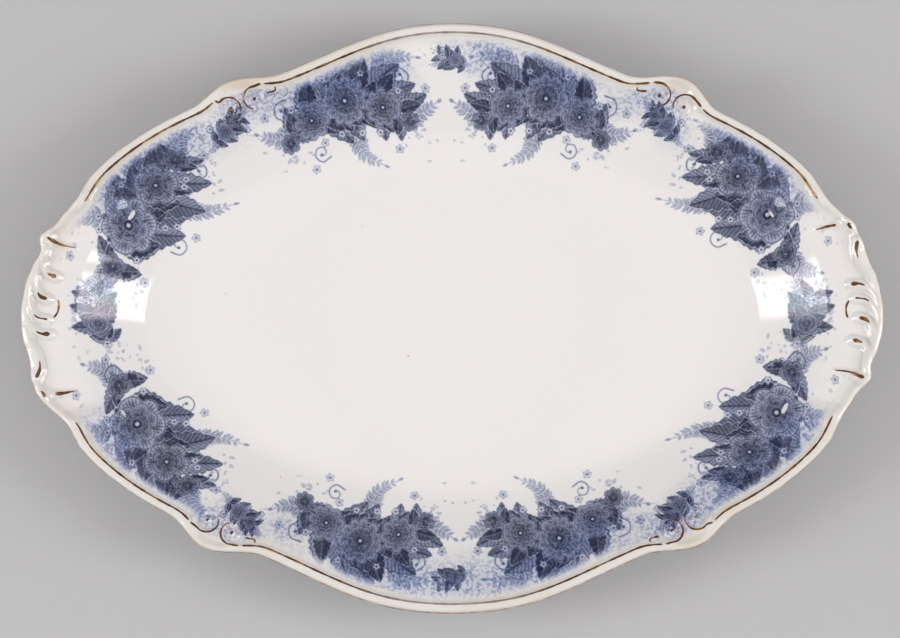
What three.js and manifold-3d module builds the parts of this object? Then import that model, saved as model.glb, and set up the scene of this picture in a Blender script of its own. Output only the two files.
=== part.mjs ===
// An oval serving platter: one moulded earthenware body with a lobed, scroll-moulded rim,
// and the gold strokes that were brushed on the mouldings afterwards.
// Millimetres, +Z up, long axis along X. The origin is the middle of the foot, on the table.
import * as THREE from "three";
import { mergeVertices } from "three/addons/utils/BufferGeometryUtils.js";
import Module from "manifold-3d";

const wasm = await Module();
wasm.setup();

// Overall sizes
const LENGTH = 406;
const WIDTH = 279;
const RIM_HEIGHT = 39;

// Well, wall and foot
const WELL_LENGTH = 262;
const WELL_WIDTH = 146;
const CAVETTO_WIDTH = 57;
const FLOOR_THICKNESS = 5.6;
const RIM_THICKNESS = 4.4;
const FOOT_HEIGHT = 3.6;
const FOOT_TREAD = 4.5;
const FOOT_OUTSET = 1.5;
const FOOT_FLARE = 1;
const BASE_ARCH = 0.6;
const OPEN_RIM_SHARE = 0.35;

// Edge outline: a full oval with a pointed shoulder, a wide hollow and a knob with a nib in each quarter
const OVAL_FULLNESS = 1.8;
const SHOULDER_SPREAD = 9.3;
const HOLLOW_DEPTH = 8.1;
const HOLLOW_SPREAD = 36;
const HOLLOW_SHIFT = 6.5;
const KNOB_SPREAD = 6.8;
const WAIST_DEPTH = 4.9;
const WAIST_SPREAD = 10;
const WAIST_SHIFT = 1.3;
const NIB_SPREAD = 1.9;
const NIB_CREASE = 2.3;
const NIB_GROOVE = 0.6;
const CORNERS = [
  { x: 1, y: 1, shoulder: 45.6, point: 9.0, knob: 12.8, swell: 5.4, nib: 0.5, tip: 13.2, lean: 0.3 },
  { x: -1, y: 1, shoulder: 46.5, point: 5.6, knob: 12.3, swell: 4.8, nib: 1.7, tip: 11, lean: -0.6 },
  { x: -1, y: -1, shoulder: 43.2, point: 7.9, knob: 10.9, swell: 7.0, nib: 0, tip: 10.9, lean: 0.3 },
  { x: 1, y: -1, shoulder: 43.0, point: 6.6, knob: 9.8, swell: 3.6, nib: 1.4, tip: 8.6, lean: -0.6 },
];

// Lip and the raised line inside it
const LIP_RISE = 1.1;
const LIP_HALF_WIDTH = 2.2;
const LINE_INSET = 4.6;
const LINE_RISE = 0.8;
const LINE_HALF_WIDTH = 1.4;
const LINE_FADE = 2;
const SHOULDER_CLEAR = 1.5;
const KNOB_CLEAR = 3;

// Volutes beside each shoulder, measured inwards and along the rim from the shoulder point
const VOLUTES = {
  long: { inset: 14.4, along: 3.4, radius: 5.6, start: 110, turn: -1, joins: 1 },
  side: { inset: 10.4, along: -8.8, radius: 6.2, start: -10, turn: 1, joins: 2 },
};
const VOLUTE_TURNS = 1.2;
const VOLUTE_EYE = 1.8;
const VOLUTE_STEPS = 20;
const SCROLL_RADIUS = 1.15;
const PEARL_RADIUS = 1.6;

// Flutes of the shell at each end, from the edge inwards: share of the way from the lower knob
// of the end to the upper one, and inset from the edge
const FLUTES = [
  { path: [[0.16, 3], [0.2, 4], [0.24, 5.8], [0.27, 8.6], [0.285, 13]], from: 0.8, to: 1.8, gold: 1.1 },
  { path: [[0.25, 2.6], [0.305, 3.8], [0.365, 5.8], [0.41, 8.2], [0.425, 11.6]], from: 0.8, to: 1.9, gold: 1.4 },
  { path: [[0.36, 2.4], [0.43, 3.2], [0.49, 5], [0.535, 7.6], [0.55, 12.6]], from: 0.8, to: 1.7, gold: 0.5 },
  { path: [[0.47, 2.4], [0.545, 3.6], [0.605, 5.8], [0.635, 8.8], [0.64, 13]], from: 0.8, to: 1.7, gold: 1.2 },
  { path: [[0.6, 2.6], [0.68, 3.8], [0.755, 5.2], [0.84, 4.9], [0.9, 2.8]], from: 0.9, to: 1.9, gold: 0.9 },
];
const DAB = [[1.02, 3], [1, 3.4], [0.98, 3]];
const DASH = [[0.54, 15.2], [0.5, 17], [0.45, 17.2], [0.425, 16.4]];
const FLUTE_STEPS = 9;
const KNOB_RADIUS = 2.8;
const KNOB_INSET = 3.6;
const FOLD_LENGTH = 14;
const FOLD_RADIUS = 1.2;

// Gold strokes
const GILT_THICKNESS = 0.25;
const GILT_CLEARANCE = 0.3;
const GILT_LINE_WIDTH = 1.1;
const CURL_WIDTH = 1.1;
const CURL_START = 1.2;
const CURL_LAST = 10;
const CURL_STEPS = 9;
const DAB_WIDTH = 1.4;
const DASH_WIDTH = 1;
const COMMA_WIDTH = 1.8;
const COMMA_SKIP = 2;

// Facets
const COLUMN_LENGTH = 13.5;
const COLUMN_TURN = 13.5;
const MOULDING_SIDES = 6;
const MOULDING_SINK = 0.35;

const WELL_TOP = FOOT_HEIGHT + FLOOR_THICKNESS;
const RISE = RIM_HEIGHT - WELL_TOP;
const QUARTER = Math.PI / 2;
const radians = THREE.MathUtils.degToRad;
const clamp = THREE.MathUtils.clamp;

// A smooth hump: 1 in the middle, 0 from a distance of 1 outwards.
function hump(x) {
  return Math.max(0, 1 - x * x) ** 3;
}

function ease(x) {
  const t = clamp(x, 0, 1);
  return t * t * (3 - 2 * t);
}

// The quarter that an angle is in, and how far it is from the long axis, in degrees.
function cornerAt(angle) {
  const turn = THREE.MathUtils.euclideanModulo(angle, 4 * QUARTER);
  const quarter = Math.min(3, Math.floor(turn / QUARTER));
  const over = turn - quarter * QUARTER;
  const local = quarter % 2 === 0 ? over : QUARTER - over;
  return { corner: CORNERS[quarter], degrees: THREE.MathUtils.radToDeg(local) };
}

// Radius of the platter's edge in a direction.
function edgeRadius(angle) {
  const { corner, degrees } = cornerAt(angle);
  const across = Math.abs(Math.cos(angle)) / (LENGTH / 2);
  const up = Math.abs(Math.sin(angle)) / (WIDTH / 2);
  const oval = (across ** OVAL_FULLNESS + up ** OVAL_FULLNESS) ** (-1 / OVAL_FULLNESS);
  const shoulder = corner.point * hump((degrees - corner.shoulder) / SHOULDER_SPREAD);
  const hollow = HOLLOW_DEPTH * hump((degrees - corner.shoulder - HOLLOW_SHIFT) / HOLLOW_SPREAD);
  const knob = corner.swell * hump((degrees - corner.knob) / KNOB_SPREAD);
  const waist = WAIST_DEPTH * hump((degrees - corner.knob - WAIST_SHIFT) / WAIST_SPREAD);
  const off = Math.abs(degrees - corner.tip);
  const crease = NIB_GROOVE * hump((off - NIB_CREASE) / NIB_SPREAD);
  const nib = corner.nib * (hump(off / NIB_SPREAD) - crease);
  return oval + shoulder - hollow + knob - waist + nib;
}

// Radius of the flat well in a direction, an ellipse.
function wellRadius(angle) {
  const across = Math.cos(angle) / (WELL_LENGTH / 2);
  const up = Math.sin(angle) / (WELL_WIDTH / 2);
  return 1 / Math.hypot(across, up);
}

// Height of the plain upper surface: flat well, cavetto, then the open rim.
function plainHeight(angle, radius) {
  const well = wellRadius(angle);
  const out = Math.max(0, radius - well);
  const share = out / (edgeRadius(angle) - well);
  const cavetto = (1 - OPEN_RIM_SHARE) * ease(out / CAVETTO_WIDTH);
  return WELL_TOP + RISE * (OPEN_RIM_SHARE * share * share + cavetto);
}

function wallThickness(angle, radius) {
  const well = wellRadius(angle);
  const share = clamp((radius - well) / (edgeRadius(angle) - well), 0, 1);
  return THREE.MathUtils.lerp(FLOOR_THICKNESS, RIM_THICKNESS, share);
}

// How strongly the raised line stands in a direction: it fades at each shoulder and knob.
function lineStrength(angle) {
  const { corner, degrees } = cornerAt(angle);
  const atShoulder = ease((Math.abs(degrees - corner.shoulder) - SHOULDER_CLEAR) / LINE_FADE);
  const atKnob = ease((degrees - corner.knob - KNOB_CLEAR) / LINE_FADE);
  return atShoulder * atKnob;
}

// Rounded lip and raised line, as a height above the plain surface.
function lipRelief(angle, inset) {
  const lip = LIP_RISE * hump((inset - LIP_HALF_WIDTH) / (2 * LIP_HALF_WIDTH));
  const line = LINE_RISE * lineStrength(angle) * hump((inset - LINE_INSET) / (2 * LINE_HALF_WIDTH));
  return lip + line;
}

function rimHeight(angle, inset) {
  return plainHeight(angle, edgeRadius(angle) - inset) + lipRelief(angle, inset);
}

function rimPoint(degrees, inset) {
  const angle = radians(degrees);
  const radius = edgeRadius(angle) - inset;
  return new THREE.Vector2(radius * Math.cos(angle), radius * Math.sin(angle));
}

// Closed solid from rings of points, with one pole before the first ring and one after the last.
function loft(first, rings, last) {
  const count = rings[0].length;
  const points = [first, ...rings.flat(), last];
  const end = points.length - 1;
  const faces = [];
  for (let j = 0; j < count; j++) {
    const k = (j + 1) % count;
    faces.push(0, 1 + j, 1 + k);
    for (let i = 0; i < rings.length - 1; i++) {
      const near = 1 + i * count;
      const far = near + count;
      faces.push(near + j, far + j, far + k, near + j, far + k, near + k);
    }
    const tail = 1 + (rings.length - 1) * count;
    faces.push(tail + j, end, tail + k);
  }
  return new THREE.BufferGeometry().setFromPoints(points).setIndex(faces);
}

function toSolid(geometry) {
  const bare = geometry.index ? geometry : mergeVertices(geometry, 1e-4);
  return new wasm.Manifold(
    new wasm.Mesh({
      numProp: 3,
      vertProperties: new Float32Array(bare.attributes.position.array),
      triVerts: new Uint32Array(bare.index.array),
    }),
  );
}

function toGeometry(solid) {
  const { vertProperties, triVerts } = solid.getMesh();
  const geometry = new THREE.BufferGeometry();
  geometry.setAttribute("position", new THREE.BufferAttribute(vertProperties, 3));
  geometry.setIndex(new THREE.BufferAttribute(triVerts, 1));
  const flat = geometry.toNonIndexed();
  flat.computeVertexNormals();
  return flat;
}

// Directions of the body's columns, close together where the edge turns sharply.
function columnAngles() {
  const angles = [];
  const fine = 400;
  const at = (angle) => {
    const radius = edgeRadius(angle);
    return new THREE.Vector2(radius * Math.cos(angle), radius * Math.sin(angle));
  };
  for (let quarter = 0; quarter < 4; quarter++) {
    const from = quarter * QUARTER;
    const travelled = [0];
    for (let i = 0; i < fine; i++) {
      const step = QUARTER / fine;
      const here = from + i * step;
      const before = at(here).sub(at(here - step));
      const after = at(here + step).sub(at(here));
      const turn = THREE.MathUtils.radToDeg(Math.abs(before.cross(after)) / before.length() / after.length());
      travelled.push(travelled[i] + after.length() / COLUMN_LENGTH + turn / COLUMN_TURN);
    }
    const count = Math.round(travelled[fine]);
    let i = 0;
    for (let n = 0; n < count; n++) {
      const target = (travelled[fine] * n) / count;
      while (travelled[i + 1] <= target) i++;
      const part = (target - travelled[i]) / (travelled[i + 1] - travelled[i]);
      angles.push(from + ((i + part) * QUARTER) / fine);
    }
  }
  return angles;
}

const COLUMNS = columnAngles();

// The body: rings from the middle of the well, over the rim and back under it to the foot.
function bodyGeometry() {
  const ring = (place) =>
    COLUMNS.map((angle) => {
      const [radius, height] = place(angle);
      return new THREE.Vector3(radius * Math.cos(angle), radius * Math.sin(angle), height);
    });
  const upper = (share) => (angle) => {
    const radius = THREE.MathUtils.lerp(wellRadius(angle), edgeRadius(angle), share);
    return [radius, plainHeight(angle, radius)];
  };
  const rim = (inset) => (angle) => [edgeRadius(angle) - inset, rimHeight(angle, inset)];
  const under = (share) => (angle) => {
    const radius = THREE.MathUtils.lerp(wellRadius(angle), edgeRadius(angle), share);
    return [radius, plainHeight(angle, radius) - wallThickness(angle, radius)];
  };
  const tread = FOOT_TREAD / 2;
  const footTop = (angle) => {
    const radius = wellRadius(angle) + FOOT_OUTSET + tread + FOOT_FLARE;
    return [radius, plainHeight(angle, radius) - wallThickness(angle, radius)];
  };
  const lowerEdge = (angle) => {
    const inset = RIM_THICKNESS / 3;
    return [edgeRadius(angle) - inset, plainHeight(angle, edgeRadius(angle) - inset) - RIM_THICKNESS];
  };
  const rings = [
    upper(0),
    upper(0.13),
    upper(0.25),
    upper(0.37),
    upper(0.5),
    upper(0.64),
    upper(0.8),
    rim(LINE_INSET + LINE_HALF_WIDTH),
    rim(LINE_INSET),
    rim(LINE_INSET - LINE_HALF_WIDTH),
    rim(LIP_HALF_WIDTH),
    rim(LIP_HALF_WIDTH / 4),
    (angle) => [edgeRadius(angle), plainHeight(angle, edgeRadius(angle)) - RIM_THICKNESS / 2],
    lowerEdge,
    under(0.8),
    under(0.5),
    under(0.25),
    footTop,
    (angle) => [wellRadius(angle) + FOOT_OUTSET + tread, 0],
    (angle) => [wellRadius(angle) + FOOT_OUTSET - tread, 0],
    (angle) => [wellRadius(angle) + FOOT_OUTSET - tread - FOOT_FLARE, FOOT_HEIGHT],
  ].map(ring);
  const top = new THREE.Vector3(0, 0, WELL_TOP);
  const bottom = new THREE.Vector3(0, 0, FOOT_HEIGHT + BASE_ARCH);
  return loft(top, rings, bottom);
}

// Even points along a smooth curve through a few plan points.
function smoothPath(points, steps) {
  const curve = new THREE.CatmullRomCurve3(points.map((p) => new THREE.Vector3(p.x, p.y, 0)));
  return curve.getSpacedPoints(steps).map((p) => new THREE.Vector2(p.x, p.y));
}

// Unit direction along a plan path at one of its points.
function heading(path, i) {
  const before = path[Math.max(0, i - 1)];
  const after = path[Math.min(path.length - 1, i + 1)];
  return after.clone().sub(before).normalize();
}

// Every raised moulding, as a plan path with a radius at each point.
const mouldings = [];

function addMoulding(path, from, to) {
  const radii = path.map((p, i) => THREE.MathUtils.lerp(from, to, i / (path.length - 1)));
  mouldings.push({ path, radii });
  return path;
}

// Height of the moulded upper surface over a plan point.
function mouldedHeight(p) {
  const angle = Math.atan2(p.y, p.x);
  const inset = edgeRadius(angle) - p.length();
  const plain = rimHeight(angle, inset);
  let proud = 0;
  for (const { path, radii } of mouldings) {
    for (let i = 0; i < path.length; i++) {
      const a = path[i];
      const b = path[Math.min(i + 1, path.length - 1)];
      const run = b.clone().sub(a);
      const share = run.lengthSq() > 0 ? clamp(p.clone().sub(a).dot(run) / run.lengthSq(), 0, 1) : 0;
      const radius = THREE.MathUtils.lerp(radii[i], radii[Math.min(i + 1, path.length - 1)], share);
      const away = p.distanceTo(a.clone().addScaledVector(run, share));
      if (away < radius) {
        proud = Math.max(proud, Math.sqrt(radius * radius - away * away) - MOULDING_SINK * radius);
      }
    }
  }
  return plain + proud;
}

// A moulding as a tapered tube half sunk in the surface, with rounded ends.
function mouldingGeometry({ path, radii }) {
  const centres = path.map((p, i) => {
    const angle = Math.atan2(p.y, p.x);
    const height = rimHeight(angle, edgeRadius(angle) - p.length());
    return new THREE.Vector3(p.x, p.y, height - MOULDING_SINK * radii[i]);
  });
  const rings = centres.map((centre, i) => {
    const along = heading(path, i);
    const ring = [];
    for (let n = 0; n < MOULDING_SIDES; n++) {
      const turn = QUARTER - (n * 4 * QUARTER) / MOULDING_SIDES;
      const side = radii[i] * Math.cos(turn);
      const up = radii[i] * Math.sin(turn);
      ring.push(new THREE.Vector3(centre.x - along.y * side, centre.y + along.x * side, centre.z + up));
    }
    return ring;
  });
  const tip = (i, sign) => {
    const along = heading(path, i).multiplyScalar(sign * radii[i] * 0.7);
    return centres[i].clone().add(new THREE.Vector3(along.x, along.y, 0));
  };
  return loft(tip(0, -1), rings, tip(path.length - 1, 1));
}

// A gold stroke draped over the mouldings: half-widths go from head to tail, with rounded ends.
function strokeGeometry(path, head, tail) {
  const rings = path.map((p, i) => {
    const share = i / (path.length - 1);
    const round = 0.3 + 0.7 * Math.sqrt(Math.max(0, Math.sin(Math.PI * share)));
    const half = THREE.MathUtils.lerp(head, tail, share) * round;
    const along = heading(path, i);
    const drape = (side, lift) => {
      const q = new THREE.Vector2(p.x - along.y * side, p.y + along.x * side);
      return new THREE.Vector3(q.x, q.y, mouldedHeight(q) + GILT_CLEARANCE + lift);
    };
    return [
      drape(-half, GILT_THICKNESS),
      drape(0, GILT_THICKNESS),
      drape(half, GILT_THICKNESS),
      drape(half, 0),
      drape(0, 0),
      drape(-half, 0),
    ];
  });
  return loft(middle(rings[0]), rings, middle(rings[rings.length - 1]));
}

// A gold line on the crest of the raised line, column by column. Each side clears the slope under it.
function lineGeometry(from, to) {
  const angles = [from, ...COLUMNS.filter((angle) => angle > from && angle < to), to];
  const rings = angles.map((angle) => {
    const crest = rimHeight(angle, LINE_INSET);
    const at = (side, lift) => {
      const foot = rimHeight(angle, LINE_INSET - side * LINE_HALF_WIDTH);
      const slope = THREE.MathUtils.lerp(crest, foot, GILT_LINE_WIDTH / 2 / LINE_HALF_WIDTH);
      const height = Math.max(crest, slope) + GILT_CLEARANCE + lift;
      const radius = edgeRadius(angle) - LINE_INSET + (side * GILT_LINE_WIDTH) / 2;
      return new THREE.Vector3(radius * Math.cos(angle), radius * Math.sin(angle), height);
    };
    return [at(1, GILT_THICKNESS), at(-1, GILT_THICKNESS), at(-1, 0), at(1, 0)];
  });
  return loft(middle(rings[0]), rings, middle(rings[rings.length - 1]));
}

function middle(points) {
  const sum = points.reduce((total, p) => total.add(p), new THREE.Vector3());
  return sum.divideScalar(points.length);
}

const earthenware = new THREE.MeshStandardMaterial({ color: 0xece7de, roughness: 0.22, metalness: 0 });
const gold = new THREE.MeshStandardMaterial({ color: 0x9a6a2c, roughness: 0.45, metalness: 0.9 });

const platter = new THREE.Group();
const gilding = new THREE.Group();
const strokes = [];

// A volute: an arch that tightens into a spiral round its eye, mirrored into its corner.
function volutePath(corner, volute) {
  const angle = radians(corner.shoulder);
  const mirrored = Math.atan2(corner.y * Math.sin(angle), corner.x * Math.cos(angle));
  const reach = edgeRadius(mirrored) - volute.inset;
  const centre = new THREE.Vector2(
    reach * Math.cos(angle) - volute.along * Math.sin(angle),
    reach * Math.sin(angle) + volute.along * Math.cos(angle),
  );
  const path = [];
  for (let i = 0; i <= VOLUTE_STEPS; i++) {
    const share = i / VOLUTE_STEPS;
    const turn = radians(volute.start) + volute.turn * share * VOLUTE_TURNS * 4 * QUARTER;
    const radius = THREE.MathUtils.lerp(volute.radius, VOLUTE_EYE, share ** 1.6);
    const x = centre.x + radius * Math.cos(turn);
    const y = centre.y + radius * Math.sin(turn);
    path.push(new THREE.Vector2(corner.x * x, corner.y * y));
  }
  const eye = new THREE.Vector2(corner.x * centre.x, corner.y * centre.y);
  return { path, eye };
}

// The direction in a corner that lies so many degrees from the long axis.
function along(i, degrees) {
  const corner = CORNERS[i];
  const local = radians(degrees);
  const angle = Math.atan2(corner.y * Math.sin(local), corner.x * Math.cos(local));
  return THREE.MathUtils.euclideanModulo(angle, 4 * QUARTER);
}

function crestPoint(angle) {
  const radius = edgeRadius(angle) - LINE_INSET;
  return new THREE.Vector2(radius * Math.cos(angle), radius * Math.sin(angle));
}

// Where a gold line starts on its way to a shoulder: the middle of a long lobe, or past a knob.
function lobeStart(i, kind) {
  return kind === "long" ? 90 : CORNERS[i].knob + KNOB_CLEAR + LINE_FADE;
}

// The last direction from there to the shoulder, in degrees, where the line is clear of the volute.
function lineEnd(i, kind) {
  const { path } = volutePath(CORNERS[i], VOLUTES[kind]);
  const gap = SCROLL_RADIUS + GILT_LINE_WIDTH + GILT_CLEARANCE;
  const isClear = (degrees) => path.every((p) => p.distanceTo(crestPoint(along(i, degrees))) > gap);
  const from = lobeStart(i, kind);
  const step = (CORNERS[i].shoulder - from) / 200;
  let steps = 0;
  while (steps < 199 && isClear(from + (steps + 1) * step)) steps += 1;
  return from + steps * step;
}

// A gold curl: it takes up where the line stops and follows the arch of the volute.
function curlPath(i, kind) {
  const { path } = volutePath(CORNERS[i], VOLUTES[kind]);
  const end = lineEnd(i, kind);
  const toShoulder = Math.sign(CORNERS[i].shoulder - end);
  const reach = edgeRadius(along(i, end)) - LINE_INSET;
  const onward = THREE.MathUtils.radToDeg(CURL_START / reach);
  const start = crestPoint(along(i, end + toShoulder * onward));
  return smoothPath([start, ...path.slice(VOLUTES[kind].joins, CURL_LAST)], CURL_STEPS);
}

// A short path from the knob of a corner inwards: the fold beside the shell.
function foldPath(corner) {
  const at = (inset, lean) => {
    const angle = radians(corner.tip + lean);
    const mirrored = Math.atan2(corner.y * Math.sin(angle), corner.x * Math.cos(angle));
    const radius = edgeRadius(mirrored) - inset;
    return new THREE.Vector2(radius * Math.cos(mirrored), radius * Math.sin(mirrored));
  };
  const inner = KNOB_INSET + FOLD_LENGTH;
  const middle = (KNOB_INSET + inner) / 2;
  return smoothPath([at(KNOB_INSET, 0), at(middle, corner.lean), at(inner, corner.lean)], 6);
}

const cornerNames = ["right_top", "left_top", "left_bottom", "right_bottom"];
CORNERS.forEach((corner, i) => {
  const name = cornerNames[i];
  for (const kind of Object.keys(VOLUTES)) {
    const { path, eye } = volutePath(corner, VOLUTES[kind]);
    addMoulding(path, SCROLL_RADIUS, SCROLL_RADIUS * 0.8);
    addMoulding([eye, eye.clone().addScaledVector(eye, 1e-4)], PEARL_RADIUS, PEARL_RADIUS);
    strokes.push({
      name: `gilt_curl_${kind}_${name}`,
      path: curlPath(i, kind),
      head: CURL_WIDTH / 2,
      tail: CURL_WIDTH / 3,
    });
  }
  const fold = foldPath(corner);
  addMoulding(fold, FOLD_RADIUS, FOLD_RADIUS / 2);
  addMoulding([fold[0], fold[0].clone().multiplyScalar(0.9999)], KNOB_RADIUS, KNOB_RADIUS);
  strokes.push({
    name: `gilt_comma_${name}`,
    path: fold.slice(i % 2 === 0 ? COMMA_SKIP : 0),
    head: COMMA_WIDTH / 2,
    tail: DASH_WIDTH / 4,
  });
});

// The shell at each end, the left one turned half round. It spans the end's two knobs.
const ends = [
  { name: "right", turn: 0, upper: CORNERS[0], lower: CORNERS[3] },
  { name: "left", turn: 180, upper: CORNERS[2], lower: CORNERS[1] },
];
for (const { name, turn, upper, lower } of ends) {
  const place = ([share, inset]) => {
    return rimPoint(THREE.MathUtils.lerp(-lower.knob, upper.knob, share) + turn, inset);
  };
  FLUTES.forEach((flute, n) => {
    const path = smoothPath(flute.path.map(place), FLUTE_STEPS);
    addMoulding(path, flute.from, flute.to);
    strokes.push({
      name: `gilt_flute_${n + 1}_${name}`,
      path: path.slice(FLUTE_STEPS - 3),
      head: DASH_WIDTH / 3,
      tail: flute.gold,
    });
  });
  const dab = smoothPath(DAB.map(place), 5);
  strokes.push({ name: `gilt_dab_${name}`, path: dab, head: DAB_WIDTH / 2, tail: DAB_WIDTH / 3 });
  const dash = smoothPath(DASH.map(place), 5);
  strokes.push({ name: `gilt_dash_${name}`, path: dash, head: DASH_WIDTH / 2, tail: DASH_WIDTH / 2 });
}

const body = mouldings.reduce((solid, moulding) => {
  return solid.add(toSolid(mouldingGeometry(moulding)));
}, toSolid(bodyGeometry()));

function addMesh(group, name, geometry, material) {
  const mesh = new THREE.Mesh(geometry, material.clone());
  mesh.name = name;
  group.add(mesh);
}

addMesh(platter, "platter_body", toGeometry(body), earthenware);

for (const { name, path, head, tail } of strokes) {
  addMesh(gilding, name, strokeGeometry(path, head, tail), gold);
}

// Gold lines along the two long lobes and the four diagonal ones.
const span = (...ends) => ends.map(([i, degrees]) => along(i, degrees)).sort((a, b) => a - b);
const lines = {
  gilt_line_long_top: span([0, lineEnd(0, "long")], [1, lineEnd(1, "long")]),
  gilt_line_long_bottom: span([2, lineEnd(2, "long")], [3, lineEnd(3, "long")]),
};
cornerNames.forEach((name, i) => {
  lines[`gilt_line_diagonal_${name}`] = span([i, lobeStart(i, "side")], [i, lineEnd(i, "side")]);
});
for (const [name, [from, to]] of Object.entries(lines)) {
  addMesh(gilding, name, lineGeometry(from, to), gold);
}

platter.add(gilding);

export default platter;
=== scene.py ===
"""Oval serving platter: a moulded earthenware body, a blue floral print and worn gold strokes."""

import math

import bpy
import numpy as np
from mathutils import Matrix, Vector


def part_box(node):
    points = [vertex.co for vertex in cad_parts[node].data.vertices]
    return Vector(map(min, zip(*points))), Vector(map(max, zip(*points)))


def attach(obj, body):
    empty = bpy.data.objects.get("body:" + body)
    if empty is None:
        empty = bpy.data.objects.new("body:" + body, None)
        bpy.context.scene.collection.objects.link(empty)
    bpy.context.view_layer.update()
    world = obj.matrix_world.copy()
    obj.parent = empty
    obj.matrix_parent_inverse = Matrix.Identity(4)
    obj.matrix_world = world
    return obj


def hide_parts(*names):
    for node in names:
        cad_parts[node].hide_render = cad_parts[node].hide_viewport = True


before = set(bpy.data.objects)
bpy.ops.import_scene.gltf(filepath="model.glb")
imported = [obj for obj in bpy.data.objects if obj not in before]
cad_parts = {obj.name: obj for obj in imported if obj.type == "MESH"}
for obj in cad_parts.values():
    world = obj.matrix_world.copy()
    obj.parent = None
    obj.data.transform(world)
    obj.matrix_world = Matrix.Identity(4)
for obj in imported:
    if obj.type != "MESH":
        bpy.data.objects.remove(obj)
BODY_LOW, BODY_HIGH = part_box("platter_body")

bl_info = {
    "name": "Oval Serving Platter",
    "version": (1, 0, 0),
    "blender": (4, 5, 0),
    "location": "View3D > Sidebar > Platter",
    "description": "Builds a lobed earthenware platter with a blue print and worn gilding",
    "category": "Add Mesh",
}

# Lengths are in millimetres and directions in degrees where no comment says otherwise
MM = 0.001
QUARTER = math.pi / 2

# Overall length and width in metres, from the frame, to a tenth of a millimetre
LENGTH = round(BODY_HIGH[0] - BODY_LOW[0], 4)
WIDTH = round(BODY_HIGH[1] - BODY_LOW[1], 4)

# Body mesh: columns round it, then rings on the cavetto, in the zone at the rim and round the lip,
# each with the rings that it shares with its neighbours, and the width of the zone
BODY_COLUMNS = 1320
CAVETTO_RINGS = 13
RIM_RINGS = 32
LIP_RINGS = 11
RIM_ZONE = 24

# Rings of the well, as shares of its radius, and of the underside, as shares of the way to the edge
WELL_SHARES = (0.45, 0.85, 1.0)
UNDER_SHARES = (0.985, 0.9, 0.8, 0.7, 0.6, 0.5, 0.38, 0.26, 0.15)

# Rise of the underside from the foot ring to its middle
DOME = 0.6

# Longest arc from a pole that a baking sheet has room for
SHEET_REACH = 218

# Printed sheets: step of the grid, height above the glaze and least tone of a face that is kept,
# then how far they bend with the border, and the inset from the edge and the width of their fade
PRINT_STEP = 0.3
PRINT_LIFT = 0.07
LEAST_TONE = 0.012
PRINT_BEND = 0.4
PRINT_INSET = 5
PRINT_FADE = 7

# Width of the picture and length of the platter in it, in pixels
IMAGE_WIDTH = 900
PLATTER_PIXELS = 862.5

# The edge: power of its oval, reach of each swell in degrees, then depth, offset and reach of
# the hollow beside a shoulder and of the waist beside a knob
OVAL_POWER = 1.8
POINT_REACH = 9.3
SWELL_REACH = 6.8
NIB_REACH = 1.9
HOLLOW = (8.1, 6.5, 36)
WAIST = (4.9, 1.3, 10)

# Share of the height that the open rim climbs, the rest being the cavetto's
RIM_SHARE = 0.35

# Rounded lip and raised line: inset from the edge, half-width and rise
LIP_INSET = 2.2
LIP_REACH = 4.4
LIP_RISE = 1.1
LINE_INSET = 4.6
LINE_REACH = 2.0
LINE_RISE = 0.8

# Plateau at a shoulder: inset of its middle, reach, slope and rise, then the slope of its bays
PLATEAU = (2, 17, 4, 0.75)
BAY = (1.2, 1.6)

# Scroll beside a knob: degrees off it, first and last inset, half-width and rise
SCROLL_LEAN = 5.2
SCROLL_INSETS = (5, 19)
SCROLL_REACH = 9.5
SCROLL_RISE = 1.5

# Other mouldings: first and last half-width, rise per half-width and roundness
VOLUTE_RIDGE = (1.6, 1.0, 0.6, 1.4)
PEARL_RIDGE = (2.1, 2.1, 0.6, 1.0)
FOLD_RIDGE = (2.0, 1.0, 0.62, 1.4)
KNOB_RIDGE = (4.4, 4.2, 0.34, 1.6)

# How far in from the edge mouldings reach, and the share of the lower one that shows where two meet
RELIEF_ZONE = 34
OVERLAP_SHARE = 0.35

# Each corner: its signs, then the shoulder and knob directions and how far they stand out
CORNER_NAMES = ("right_top", "left_top", "left_bottom", "right_bottom")
CORNER_SIGNS = np.array([[1, 1], [-1, 1], [-1, -1], [1, -1]])
SHOULDER = np.array([45.6, 46.5, 43.2, 43.0])
POINT = np.array([9.0, 5.6, 7.9, 6.6])
KNOB = np.array([12.8, 12.3, 10.9, 9.8])
SWELL = np.array([5.4, 4.8, 7.0, 3.6])

# How far the glaze at each shoulder has stained with age
SHOULDER_AGE = np.array([0.3, 0.62, 0.48, 0.4])

# The nib of each knob: height, direction, and the lean of the fold that runs inwards from it
NIB = np.array([0.5, 1.7, 0.0, 1.4])
TIP = np.array([13.2, 11.0, 10.9, 8.6])
LEAN = (0.3, -0.6, 0.3, -0.6)
FOLD_INSETS = (3.6, 10.6, 17.6)

# Volutes beside a shoulder: inset and offset from its point, radius, start direction, turn
VOLUTES = {"long": (14.4, 3.4, 5.6, 110, -1), "side": (10.4, -8.8, 6.2, -10, 1)}
VOLUTE_TURNS = 1.2
VOLUTE_EYE = 1.8
VOLUTE_POINTS = 61

# Gold strokes: spacing of their rings, points across, and height of the film's side, crown and back
STROKE_STEP = 0.6
STROKE_POINTS = 9
FILM_SIDE = 0.05
FILM_CROWN = 0.09
FILM_BACK = -0.12

# Gold strokes: half-width at the head and at the tail
GOLD_HALVES = {
    "line": (0.44, 0.44),
    "curl": (0.5, 0.37),
    "pearl": (0.75, 0.55),
    "hook": (0.3, 0.55),
    "comma": (0.9, 0.25),
    "dab": (0.7, 0.5),
    "dash": (0.5, 0.5),
}
FLUTE_HEAD = 0.33

# Gold lines: degrees from a knob, distance kept from a volute and gap before its curl
LINE_START = 5
LINE_GAP = 2.55
CURL_GAP = 1.2

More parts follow.
